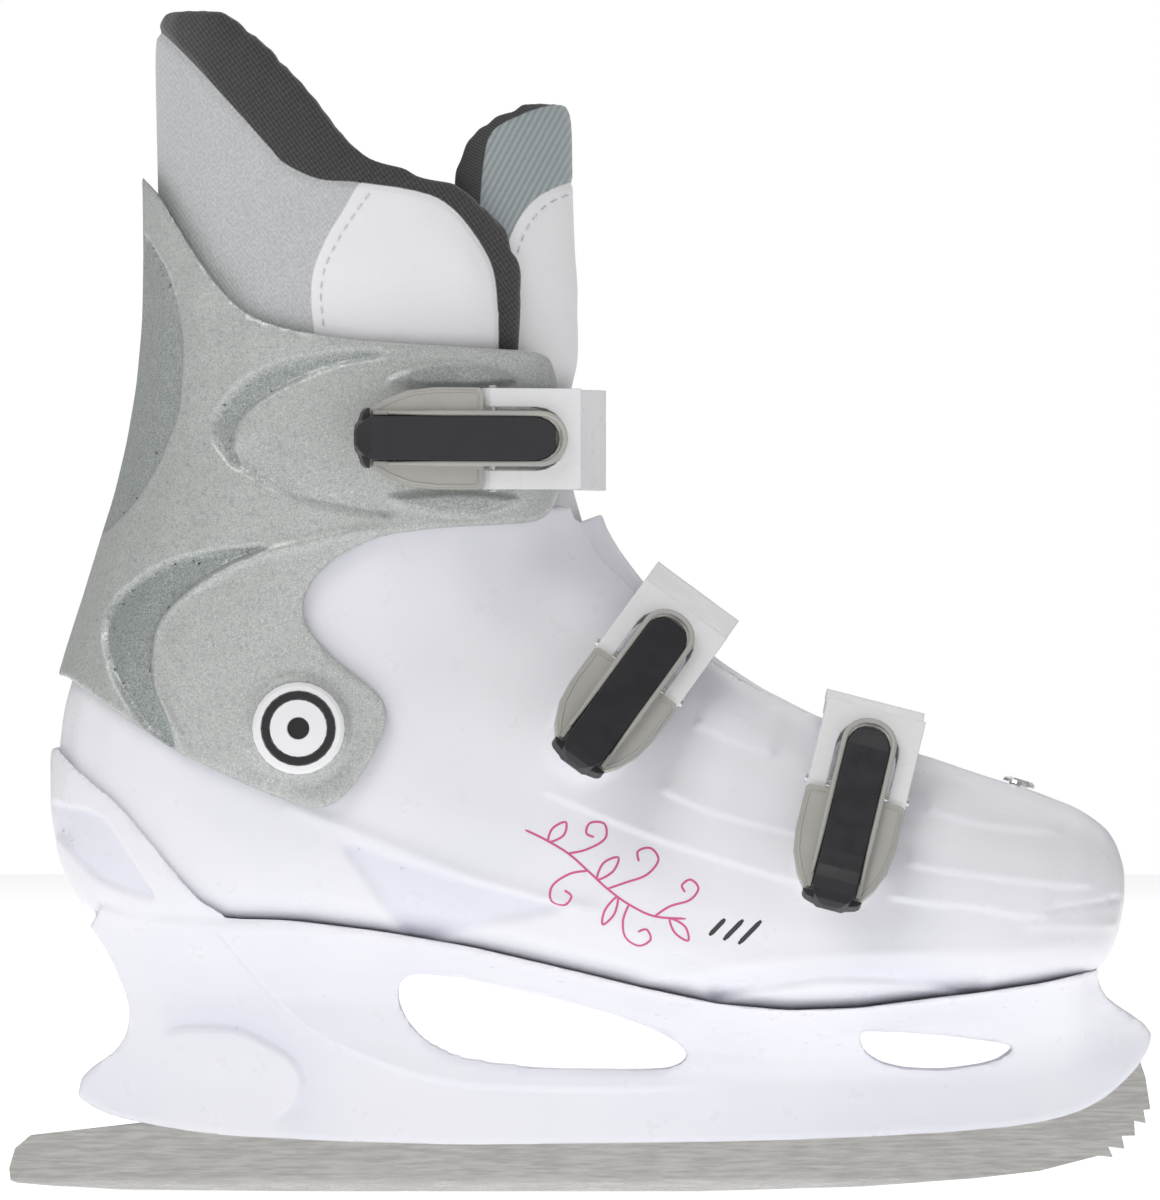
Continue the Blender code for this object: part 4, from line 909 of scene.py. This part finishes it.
def swell(obj, pressure, limit, voxel=4.0):
    """Pads a closed piece: an even skin is blown out by cloth pressure and held to limit(points)."""
    even_skin(obj, voxel)
    soften(obj, 8, ALL_ROUND, 0.55)
    start, away = points_of(obj), normals_of(obj)
    cloth = obj.modifiers.new("padding", "CLOTH")
    cloth.settings.quality = 5
    cloth.settings.mass = 0.3
    cloth.settings.use_pressure = True
    cloth.settings.uniform_pressure_force = pressure
    cloth.settings.effector_weights.gravity = 0.0
    cloth.settings.tension_stiffness = cloth.settings.compression_stiffness = 20
    cloth.settings.bending_stiffness = 1.5
    cloth.point_cache.frame_end = SWELL_FRAMES
    for number in range(1, SWELL_FRAMES + 1):
        bpy.context.scene.frame_set(number)
    graph = bpy.context.evaluated_depsgraph_get()
    found = obj.evaluated_get(graph)
    co = np.empty(len(start) * 3)
    found.data.vertices.foreach_get("co", co)
    obj.modifiers.remove(cloth)
    bpy.context.scene.frame_set(1)
    shift = co.reshape(-1, 3) - start
    most = limit(start)
    out = np.einsum("ij,ij->i", shift, away)
    size = np.clip(out, 0, most)
    move_points(obj, start + away * size[:, None])


def subdivided(obj):
    only(obj)
    layer = obj.modifiers.new("fine", "SUBSURF")
    layer.levels = layer.render_levels = 1
    bpy.ops.object.modifier_apply(modifier=layer.name)


def seams_fine(*lines):
    """Edge lengths for refine(): short beside the seams above the cuff, as they are elsewhere."""
    def wanted(mid):
        away = np.min([near_line(mid[:, [0, 2]], line)[0] for line in lines], axis=0)
        return np.where((away < 2.5) & (mid[:, 2] > CUFF_TOP), 1.0, UNTOUCHED)
    return wanted


def dip(away, depth, width):
    """A rounded groove along a line."""
    return depth * np.exp(-(away / width) ** 2)


def leg_centre(points):
    """Middle of the leg opening at each height: the liner leans forward from the heel."""
    z = points[:, 2] / MM
    return np.interp(z, (60, 130, 200, 300), (0, -40, -58, -66)) * MM


class SKATE_OT_liner(bpy.types.Operator):
    """Pad the liner boot, with its bound collar, jersey side and stitched patch"""

    bl_idname = "skate.liner"
    bl_label = "Padded liner"

    def execute(self, context):
        settings = context.scene.skate_liner
        liner = copy_of("liner_boot", "liner_boot_padding")
        limit = settings.swell

        def room(points):
            z = points[:, 2] / MM
            side = near_line(points[:, [0, 2]] / MM, flow(COLLAR_EDGE))[0]
            pinch = ease(side, 0.0, 7.0)
            return limit * ease(z, 214, 246) * (0.25 + 0.75 * pinch)

        swell(liner, settings.pressure, room)
        subdivided(liner)
        collar, patch = flow(COLLAR_EDGE), flow(PATCH_EDGE)
        refine(liner, seams_fine(collar, patch), 2)
        co, no = points_of(liner), normals_of(liner)
        spots = co[:, [0, 2]] / MM
        out_x = co[:, 0] - leg_centre(co)
        lining = (no[:, 0] * out_x + no[:, 1] * co[:, 1] * 1.4) < 0
        away, side, _ = near_line(spots, collar)
        below = np.where(side == 0, -away, away * side)
        patch_away, patch_side, _ = near_line(spots, patch)
        keep_attribute(liner, "collar", np.where(lining, 5.0, below))
        keep_attribute(liner, "patch", patch_away * patch_side)
        groove = dip(away, 0.9, 0.9) + dip(patch_away, 0.5, 0.7) * (below > 0)
        move_points(liner, co - no * (groove * (~lining) * ease(spots[:, 1], 206, 216))[:, None] * MM)
        shade_smooth(liner, 70)
        dress(liner, liner_cloth())
        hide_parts("liner_boot")
        seam = stitches("liner_patch_stitching", tree_of(liner), PATCH_STITCH, settings.stitch / MM)
        thread = felt("stitch_thread", (0.5, 0.5, 0.53))
        dress(seam, thread)
        for piece in (liner, seam):
            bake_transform(piece)
        return {"FINISHED"}


class SKATE_OT_tongue(bpy.types.Operator):
    """Pad the liner tongue, with its ribbed head, white face and stitched arc"""

    bl_idname = "skate.tongue"
    bl_label = "Padded tongue"

    def execute(self, context):
        settings = context.scene.skate_liner
        tongue = copy_of("liner_tongue", "liner_tongue_padding")
        limit = settings.swell * 0.8

        def room(points):
            return limit * ease(points[:, 2] / MM, 226, 250)

        swell(tongue, settings.pressure, room, 3.6)
        subdivided(tongue)
        edge, patch = flow(TONGUE_EDGE), flow(TONGUE_PATCH)
        refine(tongue, seams_fine(edge, patch), 2)
        co, no = points_of(tongue), normals_of(tongue)
        spots = co[:, [0, 2]] / MM
        away, side, _ = near_line(spots, edge)
        patch_away, patch_side, _ = near_line(spots, patch)
        keep_attribute(tongue, "collar", away * side)
        keep_attribute(tongue, "patch", -patch_away * patch_side)
        groove = dip(patch_away, 0.5, 0.7) + dip(away, 0.6, 0.8)
        move_points(tongue, co - no * (groove * ease(spots[:, 1], 216, 224))[:, None] * MM)
        shade_smooth(tongue, 70)
        dress(tongue, tongue_cloth())
        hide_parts("liner_tongue")
        seam = stitches("tongue_patch_stitching", tree_of(tongue), TONGUE_STITCH, settings.stitch / MM)
        dress(seam, felt("tongue_thread", (0.45, 0.45, 0.48)))
        for piece in (tongue, seam):
            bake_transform(piece)
        return {"FINISHED"}


class SKATE_OT_insole(bpy.types.Operator):
    """Round off the insole inside the boot and give it felt"""

    bl_idname = "skate.insole"
    bl_label = "Insole"

    def execute(self, context):
        insole = copy_of("insole", "insole_padding")
        refine(insole, lambda mid: np.full(len(mid), 4.0), 6)
        soften(insole, 6)
        shade_smooth(insole)
        dress(insole, felt("insole_felt", (0.16, 0.16, 0.17)))
        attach(insole, "shell")
        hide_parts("insole")
        return {"FINISHED"}


def latch_axes(key):
    """Origin and axes of one buckle: u along the lever to its nose, v across, n away from the boot."""
    pin = points_of(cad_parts["fulcrum_pin_" + key])
    clip_pin = points_of(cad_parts["clip_pin_" + key])
    at, back = pin.mean(0), clip_pin.mean(0)
    centred = clip_pin - back
    v = np.linalg.svd(centred, full_matrices=False)[2][0]
    v = v if v[2] > 0 else -v
    along = at - back
    along -= v * (along @ v)
    n = np.cross(along / np.linalg.norm(along), v)
    turn = math.atan2(*CLIP_PIN_RISE)
    u = along / np.linalg.norm(along)
    u, n = u * math.cos(turn) + n * math.sin(turn), n * math.cos(turn) - u * math.sin(turn)
    return Vector(at), Vector(u), Vector(v), Vector(n)


class SKATE_OT_latches(bpy.types.Operator):
    """Finish the three buckles and add the bead round each push piece and the raised edge lines on the lever
    leaves
    """

    bl_idname = "skate.latches"
    bl_label = "Buckles"

    def execute(self, context):
        settings = context.scene.skate_latch
        grey = grained_plastic("latch_grey", tuple(settings.grey), 0.42)
        black = grained_plastic("latch_black", tuple(settings.black), 0.33, 0.6, 900, 0.05, (1.3, 1.3, 1.3))
        white = grained_plastic("clip_white", tuple(settings.white), 0.32, 0.5, 700, 0.04, (0.93, 0.93, 0.97))
        for key in LATCHES:
            dress_nodes(["lever_" + key, "base_" + key], grey)
            dress_nodes(["push_latch_" + key], black)
            dress_nodes(["clip_" + key, "ladder_" + key], white)
            at, u, v, n = latch_axes(key)

            def spot(a, b, c):
                return at + (u * a + v * b + n * c) * MM, n

            nose = [(NOSE_U + BEAD_HALF * math.cos(t), BEAD_HALF * math.sin(t))
                    for t in (math.radians(-90 + 15 * k) for k in range(13))]
            legs = [(u_at, -BEAD_HALF) for u_at in (-43.5, -30, -16)]
            rim = legs + nose + [(u_at, -v_at) for u_at, v_at in reversed(legs)]
            bead = tube_through("lever_bead_" + key, [[spot(a, b, BEAD_N) for a, b in rim]],
                                settings.bead / MM, 8, 0.8)
            wings = [[spot(a, b * s, LEAF_N) for a, b in LEAF_EDGE] for s in (-1, 1)]
            leaf = tube_through("lever_edge_" + key, wings, 0.4, 8, 0.6)
            for piece in (bead, leaf):
                shade_smooth(piece, 60)
                dress(piece, grey)
                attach(piece, "lever_" + key)
        return {"FINISHED"}


class SKATE_OT_trim(bpy.types.Operator):
    """Lay the printed scrolls and plain bars on the boot side"""

    bl_idname = "skate.trim"
    bl_label = "Printed trim"

    def execute(self, context):
        tree = tree_of(bpy.data.objects["boot_shell_skin"])
        for side, word in ((-1, "outer"), (1, "inner")):
            lines = [flow(line) for line in SCROLLS] + [flow(leaf, 5, True) for leaf in LEAVES]
            paths = [laid_on(tree, line, side) for line in lines]
            scroll = tube_through("scroll_print_" + word, paths, 0.3, 6, 0.25)
            dress(scroll, grained_plastic("print_pink", (0.62, 0.10, 0.28), 0.4, 0.0))
            paths = [laid_on(tree, [(a[0] + (b[0] - a[0]) * k / 6, a[1] + (b[1] - a[1]) * k / 6)
                                    for k in range(7)], side) for a, b in BARS]
            bars = tube_through("bar_print_" + word, paths, 0.6, 6, 0.15)
            dress(bars, grained_plastic("print_dark", (0.03, 0.03, 0.035), 0.4, 0.0))
            for piece in (scroll, bars):
                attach(piece, "shell")
        return {"FINISHED"}


class SKATE_OT_stage(bpy.types.Operator):
    """Lay the pale floor and set the lights and the camera"""

    bl_idname = "skate.stage"
    bl_label = "Studio"

    def execute(self, context):
        settings = context.scene.skate_stage
        low, high = BOX
        middle = (low + high) / 2
        bpy.ops.object.select_all(action="DESELECT")
        bpy.ops.mesh.primitive_circle_add(vertices=96, radius=FLOOR_RADIUS, fill_type="NGON",
                                          location=(0, 0, low.z - 0.0002))
        floor = bpy.context.object
        floor.name = "studio_floor"
        finish = Finish("floor_paper", tuple(settings.floor), 0.9, Emission_Color=(1.0, 1.0, 1.0),
                        Emission_Strength=settings.glow)
        finish.bump(finish.noise(40, 3), 0.1, 0.1)
        dress(floor, finish.material)
        world = bpy.data.worlds.new("studio_air")
        world.use_nodes = True
        sky = world.node_tree.nodes["Background"]
        sky.inputs[0].default_value = (1.0, 1.0, 1.0, 1)
        seen = world.node_tree.nodes.new("ShaderNodeLightPath").outputs["Is Camera Ray"]
        level = world.node_tree.nodes.new("ShaderNodeMapRange")
        level.inputs["To Min"].default_value, level.inputs["To Max"].default_value = settings.air, 1.0
        world.node_tree.links.new(seen, level.inputs["Value"])
        world.node_tree.links.new(level.outputs[0], sky.inputs[1])
        context.scene.world = world
        for name, place, size, share, color in (
                ("key", (-1.4, -2.3, 2.65), 2.0, 6.2, (1, 0.99, 0.97)),
                ("fill", (2.3, -2.3, 1.15), 2.5, 0.88, (0.97, 0.98, 1)),
                ("back", (0.5, 2.4, 2.0), 2.3, 1.9, (1, 1, 1)),
                ("top", (0.25, -0.25, 3.2), 1.8, 1.9, (1, 1, 1))):
            data = bpy.data.lights.new(name, "AREA")
            data.energy, data.size, data.color = settings.key * share, size, color
            lamp = bpy.data.objects.new("studio_" + name, data)
            lamp.location = place
            lamp.rotation_euler = (middle - Vector(place)).to_track_quat("-Z", "Y").to_euler()
            context.scene.collection.objects.link(lamp)
        data = bpy.data.cameras.new("camera")
        data.lens, data.sensor_width = settings.lens, SENSOR
        camera = bpy.data.objects.new("camera", data)
        away = FRAME_TALL * settings.lens / SENSOR
        camera.location = (0.0, -OUTER_FACE - away, FRAME_TALL / 2 - 0.0003)
        camera.rotation_euler = (math.pi / 2, 0, 0)
        data.clip_end = 100
        context.scene.collection.objects.link(camera)
        context.scene.camera = camera
        context.scene.view_settings.view_transform = "Standard"
        return {"FINISHED"}


PIECES = (SKATE_OT_shell, SKATE_OT_holder, SKATE_OT_runner, SKATE_OT_cuff, SKATE_OT_liner, SKATE_OT_tongue,
          SKATE_OT_insole, SKATE_OT_latches, SKATE_OT_trim, SKATE_OT_stage)
GROUPS = {"skate_shell": SkateShellSettings, "skate_cuff": SkateCuffSettings,
          "skate_liner": SkateLinerSettings, "skate_latch": SkateLatchSettings,
          "skate_stage": SkateStageSettings}


class SKATE_PT_build(bpy.types.Panel):
    """Sizes, colours and pieces of the skate"""

    bl_idname = "SKATE_PT_build"
    bl_label = "Ice skate"
    bl_space_type = "VIEW_3D"
    bl_region_type = "UI"
    bl_category = "Skate"

    def draw(self, context):
        for name, group in GROUPS.items():
            box = self.layout.box()
            box.label(text=group.__doc__)
            for key in group.__annotations__:
                box.prop(getattr(context.scene, name), key)
        for piece in PIECES:
            self.layout.operator(piece.bl_idname)


def register():
    for group in GROUPS.values():
        bpy.utils.register_class(group)
    for name, group in GROUPS.items():
        setattr(bpy.types.Scene, name, bpy.props.PointerProperty(type=group))
    for piece in PIECES:
        bpy.utils.register_class(piece)
    bpy.utils.register_class(SKATE_PT_build)


def unregister():
    bpy.utils.unregister_class(SKATE_PT_build)
    for piece in reversed(PIECES):
        bpy.utils.unregister_class(piece)
    for name in GROUPS:
        delattr(bpy.types.Scene, name)
    for group in reversed(list(GROUPS.values())):
        bpy.utils.unregister_class(group)


def main():
    register()
    for piece in PIECES:
        getattr(bpy.ops.skate, piece.bl_idname.split(".")[1])()


if __name__ == "__main__":
    main()
